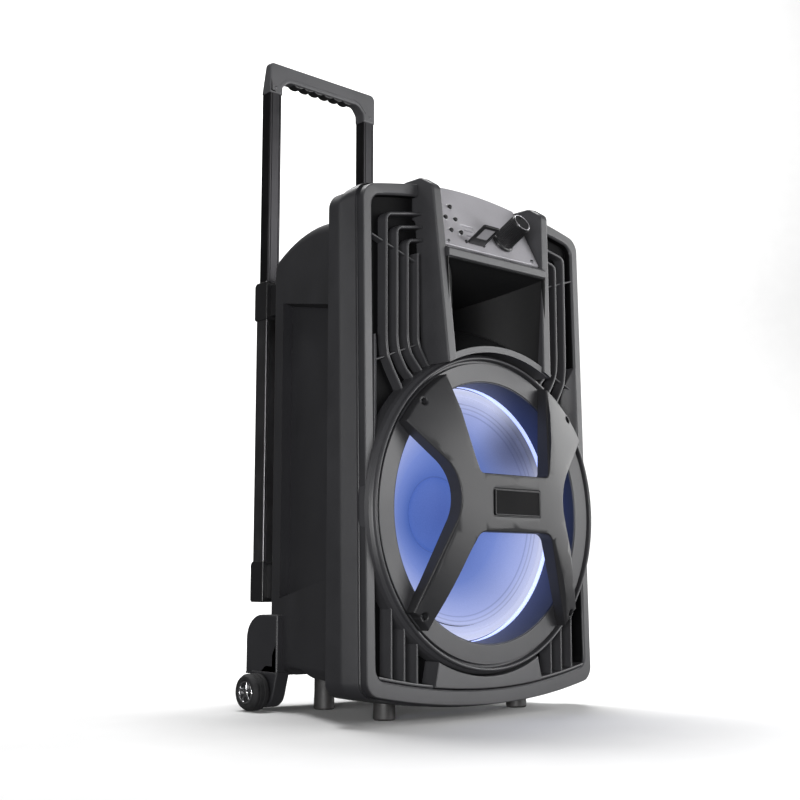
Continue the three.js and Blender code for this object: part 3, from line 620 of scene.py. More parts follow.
def border_loop(half, bottom, top, radius, crowns, depth, across=28, up=14, turn=7):
    """Rounded rectangle with crowned ends, drawn with the same point count at every size."""
    def edge(a, b, count):
        return [a + (b - a) * k / count for k in range(count)]
    low, high = bottom + radius, top - radius
    reach = half - radius
    points = [(x, bottom) for x in edge(-reach, reach, across)]
    points += arc(radius, -90, 0, turn, reach, low)[:-1]
    points += [(half, z) for z in edge(low, high, up)]
    points += arc(radius, 0, 90, turn, reach, high)[:-1]
    points += [(x, top) for x in edge(reach, -reach, across)]
    points += arc(radius, 90, 180, turn, -reach, high)[:-1]
    points += [(-half, z) for z in edge(high, low, up)]
    points += arc(radius, 180, 270, turn, -reach, low)[:-1]
    middle = (bottom + top) / 2
    loop = []
    for x, z in points:
        bulge = 1 - (x / half) ** 2
        placed = z + crowns[1] * bulge if z > middle else z - crowns[0] * bulge
        loop.append((x, depth(x, z), placed))
    return loop


def front_frame():
    """The moulded border: a leaning face, a step round it, then a wide chamfer to the sides."""
    flat = leaning(69, 0)
    sizes = [  # half width, bottom, top, corner radius, crowns, depth
        (190, 56, 645, 12, (21, 21), leaning(28, 0)),
        (190, 56, 645, 12, (21, 21), on_face(3.4)),
        (190.4, 55.7, 645.3, 12.3, (21, 21), on_face(2.0)),
        (191.2, 55, 646, 13, (21, 21), on_face(1.1)),
        (192.2, 54.2, 646.8, 14, (21, 21), on_face(0.6)),
        (192.8, 53.8, 647.4, 14.2, (21, 21), on_face(0)),
        (203, 39.4, 655, 15, (21.4, 26.6), on_face(0)),
        (204.1, 38.4, 655.8, 15.4, (21.5, 26.9), on_face(0.5)),
        (204.5, 38, 656.2, 15.6, (21.6, 27), on_face(1.6)),
        (204.7, 37.8, 656.4, 15.7, (21.6, 27), on_face(12)),
        (205.6, 37.2, 657, 16, (21.7, 27.2), on_face(13)),
        (207.6, 36.2, 657.6, 16.4, (21.8, 27.4), leaning(24.2)),
        (208.9, 35.6, 657.8, 16.8, (21.9, 27.6), leaning(24.6)),
        (210, 35.3, 657.6, 17, (22, 27.8), leaning(26.6)),
        (213.8, 35.1, 655.6, 17, (22, 28), leaning(34.4)),
        (217, 35, 652.2, 17, (22, 28), leaning(41.6)),
        (217.8, 35, 650.4, 17, (22, 28), leaning(44.2)),
        (218, 35, 649.4, 17, (22, 28), leaning(47)),
        (218, 35, 649.2, 17, (22, 28), leaning(67.8, 0)),
        (217.4, 35.6, 648.8, 16.5, (22, 28), leaning(68.8, 0)),
        (216.4, 36.6, 647.8, 16, (22, 28), flat),
        (204, 44, 642, 12, (20, 26), flat),
        (200, 46, 641, 12, (20, 25), leaning(40, 0)),
    ]
    loops = [border_loop(*size) for size in sizes]
    moulding = piece("front_frame_moulding", loft(loops, closed=True), FACE, "front_frame", angle=32)
    cut(moulding, rounded_box((-NOTCH_HALF, -80, NOTCH_FOOT + 1), (NOTCH_HALF, 52, 720), 1.5))
    moulding.data.materials.append(SHELL)
    moulding.data.materials.append(RECESS)
    for polygon in moulding.data.polygons:
        # The face is finer than the sides behind the step, and the opening's walls are dark.
        x, y, z = polygon.center / MM
        behind = y - SHIFT_Y - face_y(x, z)
        inner = abs(x) < OPENING_HALF + 0.2 and OPENING_BOTTOM - 22 < z < OPENING_TOP + 22
        polygon.material_index = 2 if inner and behind > 3.5 else int(behind > 2.2)
    half, foot = 190.5, 611  # the wall that closes the frame above the rear shell's roof
    crest = [(x, opening_high(x, 1.5)) for x in np.linspace(half, -half, 25)]
    wall = slab([[(-half, foot), (half, foot), *crest]], 63, 68.8, 0.3, spacing=60, steps=1)
    piece("front_frame_back_wall", wall, SHELL, "front_frame")


def baffle():
    """The dark floor behind the vents, with a hole for the ring and one for the horn."""
    half, gap, horn_half = OPENING_HALF - 0.3, 0.3, 84
    notch = [(NOTCH_HALF, NOTCH_FOOT), (horn_half, NOTCH_FOOT), (horn_half, 592)]
    low = [(x, opening_low(x, gap)) for x in np.linspace(-half, half, 25)]
    high = [(x, opening_high(x, -gap)) for x in np.linspace(half, NOTCH_HALF, 7)]
    outline = [*low, *high, *notch, *flipped(notch), *flipped(high)]
    holes = [circle(172, 0, WOOFER_Z, 96)[::-1], box_outline(-horn_half, 470, horn_half, 574)[::-1]]
    floor = slab([outline, *holes], BAFFLE_Y, BAFFLE_Y + 6, bevel=0.5, spacing=40, steps=1)
    piece("vent_recess_floor", floor, RECESS, "baffle_board")


def ring_edge(x, grow=0.0):
    """Height of the ring's lower edge at x."""
    return WOOFER_Z - math.sqrt((RING_OUTER + grow) ** 2 - x * x)


def web_y(x, z):
    """Front of the web, which falls away in a curve from the border's edge."""
    return 12 + 14 * (max(0, OPENING_HALF + 0.8 - abs(x)) / 16) ** 1.5


def apron():
    """The plain face under the ring, between the two corner vents and flush with the border."""
    foot, shoulder = 98, 91
    under = [(x, ring_edge(x, 1.2)) for x in np.linspace(shoulder, -shoulder, 25)]
    low = [(x, opening_low(x, 1)) for x in np.linspace(-foot, foot, 17)]
    face = slab([[*low, *under]], on_face(0.35), BAFFLE_Y, bevel=1.6, spacing=14)
    piece("lower_apron", face, FACE, "baffle_board")
    for name, side in SIDES.items():
        # A web between the border and the ring, below the louvres.
        corners = [(190.5, 318), (190.5, 478), (183, 458), (176, 440), (172, 410), (180, 350)]
        web = rounded([(x, z, 8) for x, z in corners])
        shape = slab([web if side > 0 else flipped(web)], web_y, BAFFLE_Y + 1, bevel=0.8, spacing=5)
        piece("ring_web_" + name, shape, FACE, "baffle_board")


# ---------- vents ----------

def louvre_section(thick, front):
    """Blade section: a rounded front edge, and a tail that runs back to the recess floor."""
    half = thick / 2
    nose = [(half * math.cos(turn), front + half - half * math.sin(turn))
            for turn in (math.pi * k / 6 for k in range(7))]
    return [(half, BAFFLE_Y), *nose, (-half, BAFFLE_Y)]


BLADE_TAILS = [
    [(169, 478), (168.4, 462), (166, 445), (157.7, 429.5), (142, 404.5)],
    [(151, 474), (149.6, 460), (146, 448), (135.7, 431.3), (121.5, 419)],
    [(133, 474), (131, 461), (126, 449.5), (108, 431)],
    [(115, 474), (112.6, 462), (96.5, 439)],
]


BLADE_PITCH = 18  # across, from each blade to the next
BLADE_DROP = 14
BLADE_TOP = 624.6
RIBS = (((110, 570.4), (189.8, 595.7)), ((112, 466.5), (187, 437)))  # thin ties across the blades
PILLAR_SIDE = 108.5


def louvres():
    """Four nested blades each side, which turn to the pillar at the top and to the ring below."""
    for name, side in SIDES.items():
        body = Body()
        for k, tail in enumerate(BLADE_TAILS):
            x = BLADE_TAILS[0][0][0] - BLADE_PITCH * k
            top = BLADE_TOP - BLADE_DROP * k
            inner = (PILLAR_SIDE, top + 0.19 * (x - PILLAR_SIDE))
            start = [inner, (x, top, 9)] if k < 3 else [(x, top)]
            bends = [(a, b, 30) for a, b in tail[:-1]]
            line = rounded([*start, *bends, tail[-1]], steps=6, closed=False)
            body.add(swept([(side * a, b) for a, b in line], louvre_section(4.4, 13)))
        for ends in RIBS:
            body.add(swept([(side * x, z) for x, z in ends], louvre_section(2.6, 17.5)))
        piece("vent_blades_" + name, body, FACE, "vent_louvre_" + name)


def corner_vents():
    """Three upright slats in each bottom corner, on a low sill that follows the border."""
    for name, side in SIDES.items():
        body = Body()
        for x in (165, 144, 123):
            ends = [(side * x, opening_low(x, 1)), (side * x, ring_edge(x) + 8)]
            body.add(swept(ends, louvre_section(2.6, 8)))
        xs = np.linspace(98.5, 187, 10)
        sill = [(x, opening_low(x, 0.5)) for x in xs] + [(x, opening_low(x, 4.2)) for x in xs[::-1]]
        body.add(slab([sill if side > 0 else flipped(sill)], 6, BAFFLE_Y, 1.2, steps=2))
        piece("corner_slat_rack_" + name, body, FACE, "corner_slats_" + name)


# ---------- centre fascia ----------

def pillar_x(z):
    """Centre line of a pillar, leaning outwards with height."""
    return 87 + 15 * (z - 405) / 245


def pillar_y(z):
    return -24.7 + 15 * (z - 405) / 245


def fascia():
    """Two pillars, the bar under the control panel, and the sill over the ring."""
    foot, shelf, crown = 380, 47.4, pillar_y(656)
    side_view = rounded([(pillar_y(foot), foot), (BAFFLE_Y, foot), (BAFFLE_Y, NOTCH_FOOT, 6),
                         (shelf, NOTCH_FOOT + 12, 4), (shelf, PILLAR_TOP, 5),
                         (crown + 23, PILLAR_TOP, 12), (crown + 1, PILLAR_TOP - 14, 12)], 6)
    pillar = slab([counter_clockwise(side_view)], -PILLAR_HALF, PILLAR_HALF, 2.4, 2.4, spacing=16)
    for name, side in SIDES.items():
        body = Body().add(pillar, lambda y, depth, z: (side * (pillar_x(z) + depth), y, z))
        cut(piece("pillar_" + name, body, FACE, "centre_fascia"), woofer_plug(RING_OUTER + 0.6))
    bar = rounded([(12, 577.6), (12, 593.4), (-9.6, 593.4, 2), (-19.5, 589, 3.2), (-19.5, 577.6, 2.2)])
    bar = slab([counter_clockwise(bar)], -92.5, 92.5, 0.6, 0.6, steps=2)
    piece("panel_bar", Body().add(bar, lambda y, depth, z: (depth, y, z)), FACE, "centre_fascia")
    reach = 26
    band = arc(RING_OUTER + 0.6, 90 - reach, 90 + reach, 40, 0, WOOFER_Z)
    over = arc(211, 90 + reach, 90 - reach, 40, 0, WOOFER_Z)
    piece("ring_sill", slab([band + over], -18.5, BAFFLE_Y, 1.8, spacing=12), FACE, "centre_fascia")
    half, shoulder = NOTCH_HALF - 0.8, 672
    crest = [(x, 692.6 - 9 * (x / 91) ** 2) for x in np.linspace(98, -98, 15)]
    outline = [(-half, NOTCH_FOOT), (half, NOTCH_FOOT), (half, shoulder), *crest, (-half, shoulder)]
    piece("panel_lip", slab([outline], 46.7, 51.6, 1.5, steps=3), SHELL, "centre_fascia")


def woofer_plug(radius, low=-80, high=60):
    """A round cutter on the woofer's axis."""
    verts, faces = lathe([(0, low), (radius, low), (radius, high), (0, high)], 128)
    return [on_woofer(*v) for v in verts], faces


def on_woofer(x, y, z):
    return x, y, z + WOOFER_Z


# ---------- horn ----------

HORN_TOP = 575
HORN_THROAT = (14, 509, 537)  # half width, bottom, top
HORN_DEPTH = 117
HORN_FRONT = -17.5
HORN_SIDE_POINTS = 20


def in_steps(ends):
    """Even points along a closed outline, the same number on each side."""
    count = HORN_SIDE_POINTS
    return [(a[0] + (b[0] - a[0]) * k / count, a[1] + (b[1] - a[1]) * k / count)
            for a, b in zip(ends, ends[1:] + ends[:1]) for k in range(count)]


def horn_mouth(grow):
    """Mouth outline: a flat top, leaning sides, and a bottom that follows the ring."""
    half_top, half_low, top = 90 + grow, 86 + grow, HORN_TOP + grow

    def bottom(x):
        return WOOFER_Z + math.sqrt((212 - grow) ** 2 - x * x)
    low = bottom(half_low)
    points = in_steps([(-half_low, low), (half_low, low), (half_top, top), (-half_top, top)])
    return [(x, bottom(x)) for x, _ in points[:HORN_SIDE_POINTS]] + points[HORN_SIDE_POINTS:]


def horn_throat(grow):
    half, low, high = HORN_THROAT[0] + grow, HORN_THROAT[1] - grow, HORN_THROAT[2] + grow
    return in_steps([(-half, low), (half, low), (half, high), (-half, high)])


def horn():
    """Horn flare: it narrows fast behind the mouth, then slowly towards the throat."""
    steps, rate = 16, 2.1

    def station(t, grow):
        narrowed = 1 - (math.exp(rate * (1 - t)) - 1) / (math.exp(rate) - 1)
        y = HORN_FRONT + 4 + (HORN_DEPTH - 4) * t
        pairs = zip(horn_mouth(grow), horn_throat(grow))
        return [(*(a * (1 - narrowed) + b * narrowed for a, b in zip(*pair)), y) for pair in pairs]
    lip = []
    for turn in np.linspace(0, math.pi / 2, 5):
        y = HORN_FRONT + 4 - 4 * math.cos(turn)
        lip.append([(x, y, z) for x, z in horn_mouth(3 * (1 - math.sin(turn)))])
    inner = [station(k / steps, 0) for k in range(1, steps + 1)]
    outer = [station(k / steps, 3) for k in range(steps, -1, -1)]
    walls = [[(x, y, z) for x, z, y in loop] for loop in inner + outer]
    piece("horn_flare", loft(lip + walls, closed=True), HORN, "horn_waveguide", angle=30)
    plug = lathe([(0, 112), (4, 108), (10, 101), (21, 99.8), (21, 104), (0, 114)], 48)
    axis = (HORN_THROAT[1] + HORN_THROAT[2]) / 2
    plug = Body().add(plug, lambda x, y, z: (x, y, z + axis))
    piece("horn_throat_plug", plug, HORN, "horn_waveguide")


# ---------- woofer ----------

def bead(centre, radius, height, steps=6):
    """Half-round bead in a lathe profile, from its inner foot to its outer one."""
    return [(centre - radius * math.cos(math.pi * k / steps),
             height - radius * math.sin(math.pi * k / steps)) for k in range(steps + 1)]


def ring():
    """The trim ring: a flat face, a groove, a bright bead, and the wall of its housing."""
    outer = RING_OUTER
    profile = rounded([(169.5, 46), (169.5, 6), (RING_INNER + 1, 0.0, 1.6), (193, 0, 0.8), (193.2, 5, 0.6),
                       (196.6, 5, 0.6), (196.8, 0)], 3, closed=False)
    profile += bead(199, 2.2, -0.8)
    profile += rounded([(201.4, 2), (202.6, 3.4, 0.8), (outer - 1.5, 6, 1.5), (outer, 12, 1.5), (outer, 28),
                        (172, 28), (172, 46)], 3, closed=False)
    trim = Body().add(lathe(profile, 256, closed=True), on_woofer)
    piece("ring_trim", trim, RING, "woofer_ring", angle=35)
    wall = rounded([(RING_INNER, 46), (RING_INNER, 1.4, 0.8), (169.2, 1.4), (169.2, 46)], 3)
    tunnel = Body().add(lathe(wall, 192, closed=True), on_woofer)
    piece("ring_tunnel", tunnel, TUNNEL, "woofer_ring")


def dome(x, z):
    """Front of the bezel: a shallow dome, flatter in its middle."""
    return -47 + 35 * (math.hypot(x, z) / 200) ** 2.5


BEZEL_RADIUS = 192.3
SCREW_PLACES = [(x, z) for z in (388, 128) for x in (-135, 135)]


def bezel_outline():
    """X shape about the woofer's axis, counter-clockwise from the upper right arm's end."""
    right_arm = arc(BEZEL_RADIUS, 32.6, 60.8, 14)
    low_arm = arc(BEZEL_RADIUS, -49.3, -40.2, 5)
    corners = [*right_arm[:-1], (93.6, 168), (63, 44.7, 8), (-63, 44.7, 8), (-93.6, 168),
               *flipped(right_arm)[1:-1], (-163, 103.7), (-81.8, 28.2, 62), (-150, -125.3),
               *flipped(low_arm)[1:-1], (-126, -147.3), (-65, -27.8, 17), (65, -27.8, 17),
               (126, -147.3), *low_arm[1:-1], (150, -125.3), (81.8, 28.2, 62), (163, 103.7)]
    return rounded(corners, 10)


def bezel():
    """The X-shaped cover, with walls that stand back to the ring, screw pockets and a badge bed."""
    outline = bezel_outline()
    pocket = [circle(4.6, x, z - WOOFER_Z, 24)[::-1] for x, z in SCREW_PLACES]
    bed = box_outline(-43.2, -7.8, 43.2, 26, 2)
    shell = slab([outline, *pocket, bed[::-1]], dome, lambda x, z: min(dome(x, z) + 20, -0.4), bevel=1.8,
                 spacing=9, steps=4)
    piece("bezel_cross", Body().add(shell, on_woofer), BEZEL, "x_bezel", angle=35)
    backing = slab([box_outline(-44, -8.6, 44, 26.8)], -44.8, -40, 0.3, spacing=40, steps=1)
    piece("badge_bed", Body().add(backing, on_woofer), BEZEL, "x_bezel")
    plate = slab([box_outline(-42, -7, 42, 25.3, 2.2)], -46.9, -44.9, 0.9, spacing=40)
    piece("badge_blank", Body().add(plate, on_woofer), RECESS, "badge_plate")
    rim_outer = box_outline(-41.6, -6.6, 41.6, 24.9, 2)
    rim = slab([rim_outer, inset(rim_outer, 1.1)[::-1]], -47.5, -46.5, 0.3, spacing=40, steps=2)
    piece("badge_rim", Body().add(rim, on_woofer), BEZEL, "badge_plate")
    for i, (x, z) in enumerate(SCREW_PLACES, 1):
        front = dome(x, z - WOOFER_Z)
        screw_head("bezel_screw_head_%d" % i, shifted(x, front + 6, z), 3.9, "bezel_screw_%d" % i)
        walls = lathe([(4.6, front + 1.5), (5.4, front + 1.5), (5.4, -0.5), (4.6, -0.5)], 32, closed=True)
        pocket = Body().add(walls, shifted(x, 0, z))
        piece("screw_pocket_%d" % i, pocket, BEZEL, "x_bezel")


def turned_back(x, y, z):
    """A placing that turns a body to face +Y."""
    return lambda a, b, c: (x - a, y - b, z + c)


def cross_cutter(reach, thick, low, high):
    """A plus-shaped cutter for a screw's drive."""
    corners = [(-thick, -reach), (thick, -reach), (thick, -thick), (reach, -thick), (reach, thick),
               (thick, thick), (thick, reach), (-thick, reach), (-thick, thick), (-reach, thick),
               (-reach, -thick), (-thick, -thick)]
    return slab([corners], low, high, 0.05, spacing=50, steps=1)


def shifted(x, y, z):
    """A placing that moves by so much."""
    return lambda a, b, c: (a + x, b + y, c + z)


def screw_head(name, put, radius, node=None, rides="cabinet"):
    """Pan-head screw with a cross drive, facing -Y before put moves it."""
    profile = [(0, 0), (radius * 0.7, 0.1, 2), (radius, 1.6, 1.0), (radius, 3), (0, 3)]
    head = rounded(profile, 3, closed=False)
    screw = piece(name, Body().add(lathe(head, 28), put), SCREW, node, rides)
    verts, faces = cross_cutter(radius * 0.55, radius * 0.12, -1, radius * 0.3)
    cut(screw, ([put(*v) for v in verts], faces))


def woofer():
    """Cone, surround and dust cap, with the light ring round them."""
    edge_y, edge_r, neck_y, neck_r = 52, 146, 110.5, 38
    ribs = []
    for k in range(41):
        t = k / 40
        sag = 3.2 * math.sin(math.pi * t)
        ripple = 0.5 * math.cos(t * math.pi * 10) if t < 0.5 else 0
        ribs.append((edge_r + (neck_r - edge_r) * t, edge_y + (neck_y - edge_y) * t - sag + ripple))
    back = [(r, y + 1.4) for r, y in reversed(ribs)]
    cone = Body().add(lathe(ribs + back, 160, closed=True), on_woofer)
    piece("cone_paper", cone, CONE, "cone", "woofer_cone")
    cap = [(50 * math.sin(t), 88 + 14 * (1 - math.cos(t)) * 1.15) for t in np.linspace(0, math.pi / 2, 14)]
    cap_back = [(r, y + 1.2) for r, y in reversed(cap)]
    dust_dome = Body().add(lathe(cap + cap_back, 96), on_woofer)
    piece("dust_dome", dust_dome, CONE, "dust_cap", "woofer_cone")
    roll = [(147 + 19 * t, 55 - 6.4 * abs(math.sin(math.pi * 2 * t)) ** 0.8) for t in np.linspace(0, 1, 33)]
    under = [(r, y + 1.6) for r, y in reversed(roll)]
    surround = Body().add(lathe(roll + under, 160, closed=True), on_woofer)
    piece("cone_surround", surround, CONE, "surround")
    lens = rounded([(167.4, 46.8, 1), (170.6, 46.8, 1), (170.6, 56.2), (167.4, 56.2)], 2)
    piece("light_ring", Body().add(lathe(lens, 128, closed=True), on_woofer), LENS, "led_ring")


# ---------- rear shell ----------

REAR_HALF_FRONT = 205
REAR_HALF_BACK = 126
REAR_FRONT_Y = 69.3
REAR_BACK_Y = 305
REAR_BOTTOM = 47
REAR_TOP = 638


def rear_half(y):
    """Half width of the rear shell at depth y."""
    share = (y - REAR_FRONT_Y) / (REAR_BACK_Y - REAR_FRONT_Y)
    return REAR_HALF_FRONT + (REAR_HALF_BACK - REAR_HALF_FRONT) * share


def rear_loop(y, shrink=0.0, radius=16):
    """Section of the rear shell at depth y, under its crowned roof."""
    half = rear_half(y) - shrink
    roof = REAR_TOP - 0.0011 * (y - 190) ** 2
    outline = box_outline(-half, REAR_BOTTOM + shrink, half, roof - shrink, radius, 6)
    return [(x, y, z) for x, z in outline]


def rear_shell():
    """Tapered tub with a hand recess in each side and an arch between wheel and foot."""
    depths = [REAR_FRONT_Y, 71, *range(90, 271, 20), 290]
    loops = [rear_loop(y, 1.2 if y == REAR_FRONT_Y else 0) for y in depths]
    for k in range(1, 7):
        turn = math.pi / 2 * k / 6
        loops.append(rear_loop(290 + 15 * math.sin(turn), 12 * (1 - math.cos(turn)), 16 + 8 * k / 6))
    shell = piece("rear_shell_tub", loft(loops), REAR, "rear_shell", angle=32)
    cavity = [(-171, 60), (171, 60), (171, 82), (118, 262), (118, 292), (-118, 292), (-118, 262), (-171, 82)]
    cut(shell, loft([[(x, y, z) for x, y in cavity] for z in (64, 612)]), angle=32)
    for side in SIDES.values():
        plan = [(82, 176), (262, 124), (262, 240), (82, 240)]
        verts = []
        for (y, x), z_low, z_high in zip(plan, (176, 148, 140, 168), (512, 552, 566, 520)):
            verts += [(side * x, y, z_low), (side * x, y, z_high)]
        faces = [(0, 2, 4, 6), (1, 7, 5, 3), (0, 1, 3, 2), (2, 3, 5, 4), (4, 5, 7, 6), (6, 7, 1, 0)]
        cut(shell, (verts, faces), angle=32)
    arch = rounded([(150, 20), (232, 20), (226, 58, 12), (176, 58, 20), (150, 47)], 6)
    verts, faces = slab([counter_clockwise(arch)], -300, 300, 0.1, spacing=60, steps=1)
    cut(shell, ([(depth, y, z) for y, depth, z in verts], faces), angle=32)
    cut(shell, rounded_box((-62, 296, 90), (62, 330, 190), 1), angle=32)
    soften = shell.modifiers.new("soft_edges", "BEVEL")
    soften.width = 2.2 * MM
    soften.segments = 3
    soften.limit_method = "ANGLE"
    soften.angle_limit = math.radians(28)
    soften.harden_normals = False
    shell.modifiers.move(shell.modifiers.find("soft_edges"), 0)


def rear_plate():
    """Recessed plate with the mains inlet, the rocker switch and four screws."""
    y = 301

    def behind(x, out, z):
        return x, y - out, z
    hole = box_outline(-50, 116, -18, 140, 2)[::-1]
    rocker_hole = box_outline(12, 115, 30, 141, 1.5)[::-1]
    edge = box_outline(-61.6, 90.4, 61.6, 189.6, 3)
    body = Body().add(slab([edge, hole, rocker_hole], -4, 0, 0.8, spacing=40, steps=2), behind)
    rib = [box_outline(-58, 94, 58, 186, 3), box_outline(-56, 96, 56, 184, 2)[::-1]]
    body.add(slab(rib, -4.6, -3.5, 0.4, spacing=60, steps=2), behind)
    piece("rear_connection_plate", body, SHELL, "rear_plate")
    for i, (x, z) in enumerate([(x, z) for z in (176, 103) for x in (-50, 50)], 1):
        screw_head("rear_plate_screw_%d" % i, turned_back(x, y + 6.6, z), 3.4)
    socket = rounded([(-46, 119.5, 1), (-22, 119.5, 1), (-22, 133, 1), (-26, 137, 1), (-42, 137, 1),
                      (-46, 133, 1)])[::-1]
    shroud = [box_outline(-49.4, 116.6, -18.6, 139.4, 1.5), socket]
    body = Body().add(slab(shroud, -5.4, 14, 0.8, spacing=40, steps=2), behind)
    body.add(rounded_box((-47, y - 15, 118.5), (-21, y - 12, 138), 0.6))
    piece("mains_inlet_shroud", body, SOFT_BLACK, "power_inlet")
    pins = Body()
    for x, z in ((-40, 131), (-28, 131), (-34, 124.5)):
        pins.add(rounded_box((x - 1, y - 13, z - 2), (x + 1, y + 2, z + 2), 0.5))
    piece("mains_inlet_pins", pins, CHROME, "power_inlet")
    shape = rounded([(-11.8, -4, 1), (11.8, -4, 1), (11.8, 6, 1.6), (0, 4.2, 12), (-11.8, 6, 1.6)], 5)
    tilt = 0.1

    def on_rocker(a, across, b):
        depth = b * math.cos(tilt) - a * math.sin(tilt)
        return 21 + across, y - 1 + depth, 128 + a * math.cos(tilt) + b * math.sin(tilt)
    body = Body().add(slab([shape], -8.6, 8.6, 0.9, 0.9, spacing=20, steps=3), on_rocker)
    circle_mark = circle(1.9, 0, -7, 20)
    for marks in ([box_outline(-0.45, 5, 0.45, 9, 0.3, 2)], [circle_mark, inset(circle_mark, 0.5)[::-1]]):
        mark = slab(marks, -5.5, -4.5, 0.1, spacing=10, steps=1)
        body.add(mark, lambda x, d, z: on_rocker(z, x, -d))
    piece("rocker_switch_cap", body, GLOSS, "power_switch", "power_switch")
    border = [box_outline(9.6, 112.6, 32.4, 143.4, 2), box_outline(12, 115, 30, 141, 1)[::-1]]
    surround = Body().add(slab(border, -6, -3, 0.7, steps=2), behind)
    piece("rocker_switch_surround", surround, SOFT_BLACK, "rear_plate")


# ---------- control panel ----------

def on_panel(x, depth, up):
    """A point across the panel, so far behind its face, and so far up it."""
    return (x, PANEL_FOOT_Y + up * math.sin(LEAN) + depth * math.cos(LEAN),
            PANEL_FOOT_Z + up * math.cos(LEAN) - depth * math.sin(LEAN))


def panel_place(across, up, depth=0):
    """A placing about a point of the panel's face."""
    return lambda a, b, c: on_panel(across + a, depth + b, up + c)


PANEL_HALF = 91
KNOB_X, KNOB_UP, KNOB_LENGTH = 31, 30, 45
FLAP = (-43.5, -14, 14.5)  # left, right, and how far up the panel its foot is
BUTTONS = [(x, up) for x in (-66, -48) for up in (73, 51, 28.5)]


def control_panel():
    """Silver plate with a crowned top edge, two screws, button rings and caps, a slot module, and the hole
    for the dial's shaft.
    """
    half = PANEL_HALF
    top = [(x, 111 - 10 * (x / half) ** 2) for x in np.linspace(half, -half, 17)]
    outline = [(-half, 1.8), (half, 1.8), *top]
    holes = [circle(3.5, x, up, 20)[::-1] for x, up in BUTTONS]
    slot = box_outline(-40, 19, -17, 45, 1)[::-1]
    shaft = circle(4.2, KNOB_X, KNOB_UP, 20)[::-1]
    plate = slab([outline, *holes, slot, shaft], 0, 3, 0.9, spacing=14, steps=3)
    piece("panel_plate", Body().add(plate, on_panel), SILVER, "control_panel")
    edge = slab([[(-half, 98), (half, 98), *[(x, up + 1.4) for x, up in top]]], 1.2, 4.5, 0.8, steps=2)
    piece("panel_top_seal", Body().add(edge, on_panel), SHELL, "control_panel")
    for i, x in enumerate((-80, 80), 1):
        screw_head("panel_screw_%d" % i, panel_place(x, 8, -1.6), 3.1)
    rings = Body()
    profile = rounded([(3.4, 0.5), (3.4, -0.5, 0.3), (4.4, -0.5, 0.3), (4.8, 0.5)], 2)
    for x, up in BUTTONS:
        rings.add(lathe(profile, 28, closed=True), panel_place(x, up))
    piece("button_rings", rings, CAP, "control_panel")
    face = [box_outline(-39.7, 19.3, -17.3, 44.7, 1), box_outline(-36, 24, -21, 29.5, 0.5)[::-1],
            box_outline(-37, 35.5, -20, 38, 0.4)[::-1]]
    module = Body().add(slab(face, 0.9, 12, 0.6, spacing=20, steps=2), on_panel)
    module.add(slab([box_outline(-38, 21, -19, 43, 0.5)], 8, 20, 0.5, steps=1), on_panel)
    module.add(slab([box_outline(-34.5, 26, -22.5, 27.6, 0.2)], 2.5, 9, 0.2, steps=1), on_panel)
    piece("media_slot_module", module, SILVER, "media_module")
    cap = rounded([(0, -3.4), (2.2, -3.2, 1.4), (3.0, -2.2, 0.8), (3.0, 3.6), (0, 3.6)], 3, closed=False)
    for number, (x, up) in enumerate(BUTTONS, 1):
        button = "button_%d" % number
        body = Body().add(lathe(cap, 32), panel_place(x, up))
        piece("button_cap_%d" % number, body, SOFT_BLACK, button, button)


def volume_knob():
    """Deep knob with a skirt, 36 grip flutes and a turned metal cap."""
    flutes, points = 36, 216

    def ribbed(radius, y, depth):
        loop = []
        for turn in (2 * math.pi * i / points for i in range(points)):
            r = radius - depth * (0.5 + 0.5 * math.cos(flutes * turn))
            loop.append((r * math.cos(turn), y, r * math.sin(turn)))
        return loop
    tip = -KNOB_LENGTH + 2.2
    stations = [(16.2, -0.8, 0), (17, -1.4, 0), (17, -4.0, 0), (16.4, -4.8, 0), (15.2, -5.4, 0),
                (15, -7, 0.75), (14.7, tip + 5.5, 0.75), (14.5, tip + 4, 0.1), (14.3, tip + 1, 0),
                (13.6, tip, 0)]
    put = panel_place(KNOB_X, KNOB_UP)
    body = Body().add(loft([ribbed(*station) for station in stations]), put)
    body.add(slab([circle(3, 0, 0, 24)], -1, 9, 0.4, spacing=10, steps=1), put)
    knob = "volume_knob"
    piece("volume_knob_grip", body, SOFT_BLACK, knob, knob)
    face = [(0, tip + 0.3)]
    for k in range(5):
        r = 2 + 2.1 * k
        face += [(r, tip + 0.3), (r + 0.5, tip + 0.05), (r + 1.0, tip + 0.3)]
    face += [(12.4, tip - 0.4), (13.0, tip + 0.4), (13.0, tip + 2), (0, tip + 2)]
    piece("volume_knob_cap", Body().add(lathe(face, 72), put), SILVER, knob, knob)
    pointer = rounded_box((-0.6, tip - 0.75, 5), (0.6, tip + 0.4, 12), 0.3, 2)
    piece("volume_knob_pointer", Body().add(pointer, put), SOFT_BLACK, knob, knob)


def media_flap():
    """Open cover of the media slots: a dark frame round a silver inner face."""
    left, right, foot = FLAP
    reach = 36
    window = box_outline(left + 5, 13, right - 5, reach - 5, 1)[::-1]
    rim = slab([box_outline(left, 0.9, right, reach, 2.5), window], -3.2, 0, 0.7, 0.5, spacing=20, steps=3)
    inner = slab([box_outline(left + 4.5, 12.5, right - 4.5, reach - 4.5)], -2.4, -1, 0.2, steps=1)

    def put(x, depth, out):
        return on_panel(x, -out, foot + depth)
    flap = "media_flap"
    piece("media_flap_frame", Body().add(rim, put), SOFT_BLACK, flap, flap)
    piece("media_flap_inlay", Body().add(inner, put), SILVER, flap, flap)
    ears = Body()
    for x in (left - 1.7, right + 1.7):
        ears.add(rounded_box((x - 1.2, -2.4, foot - 3), (x + 1.2, 0.6, foot + 1.6), 0.5), on_panel)
    piece("media_flap_hinge_ears", ears, SHELL, "control_panel")


# ---------- handle ----------

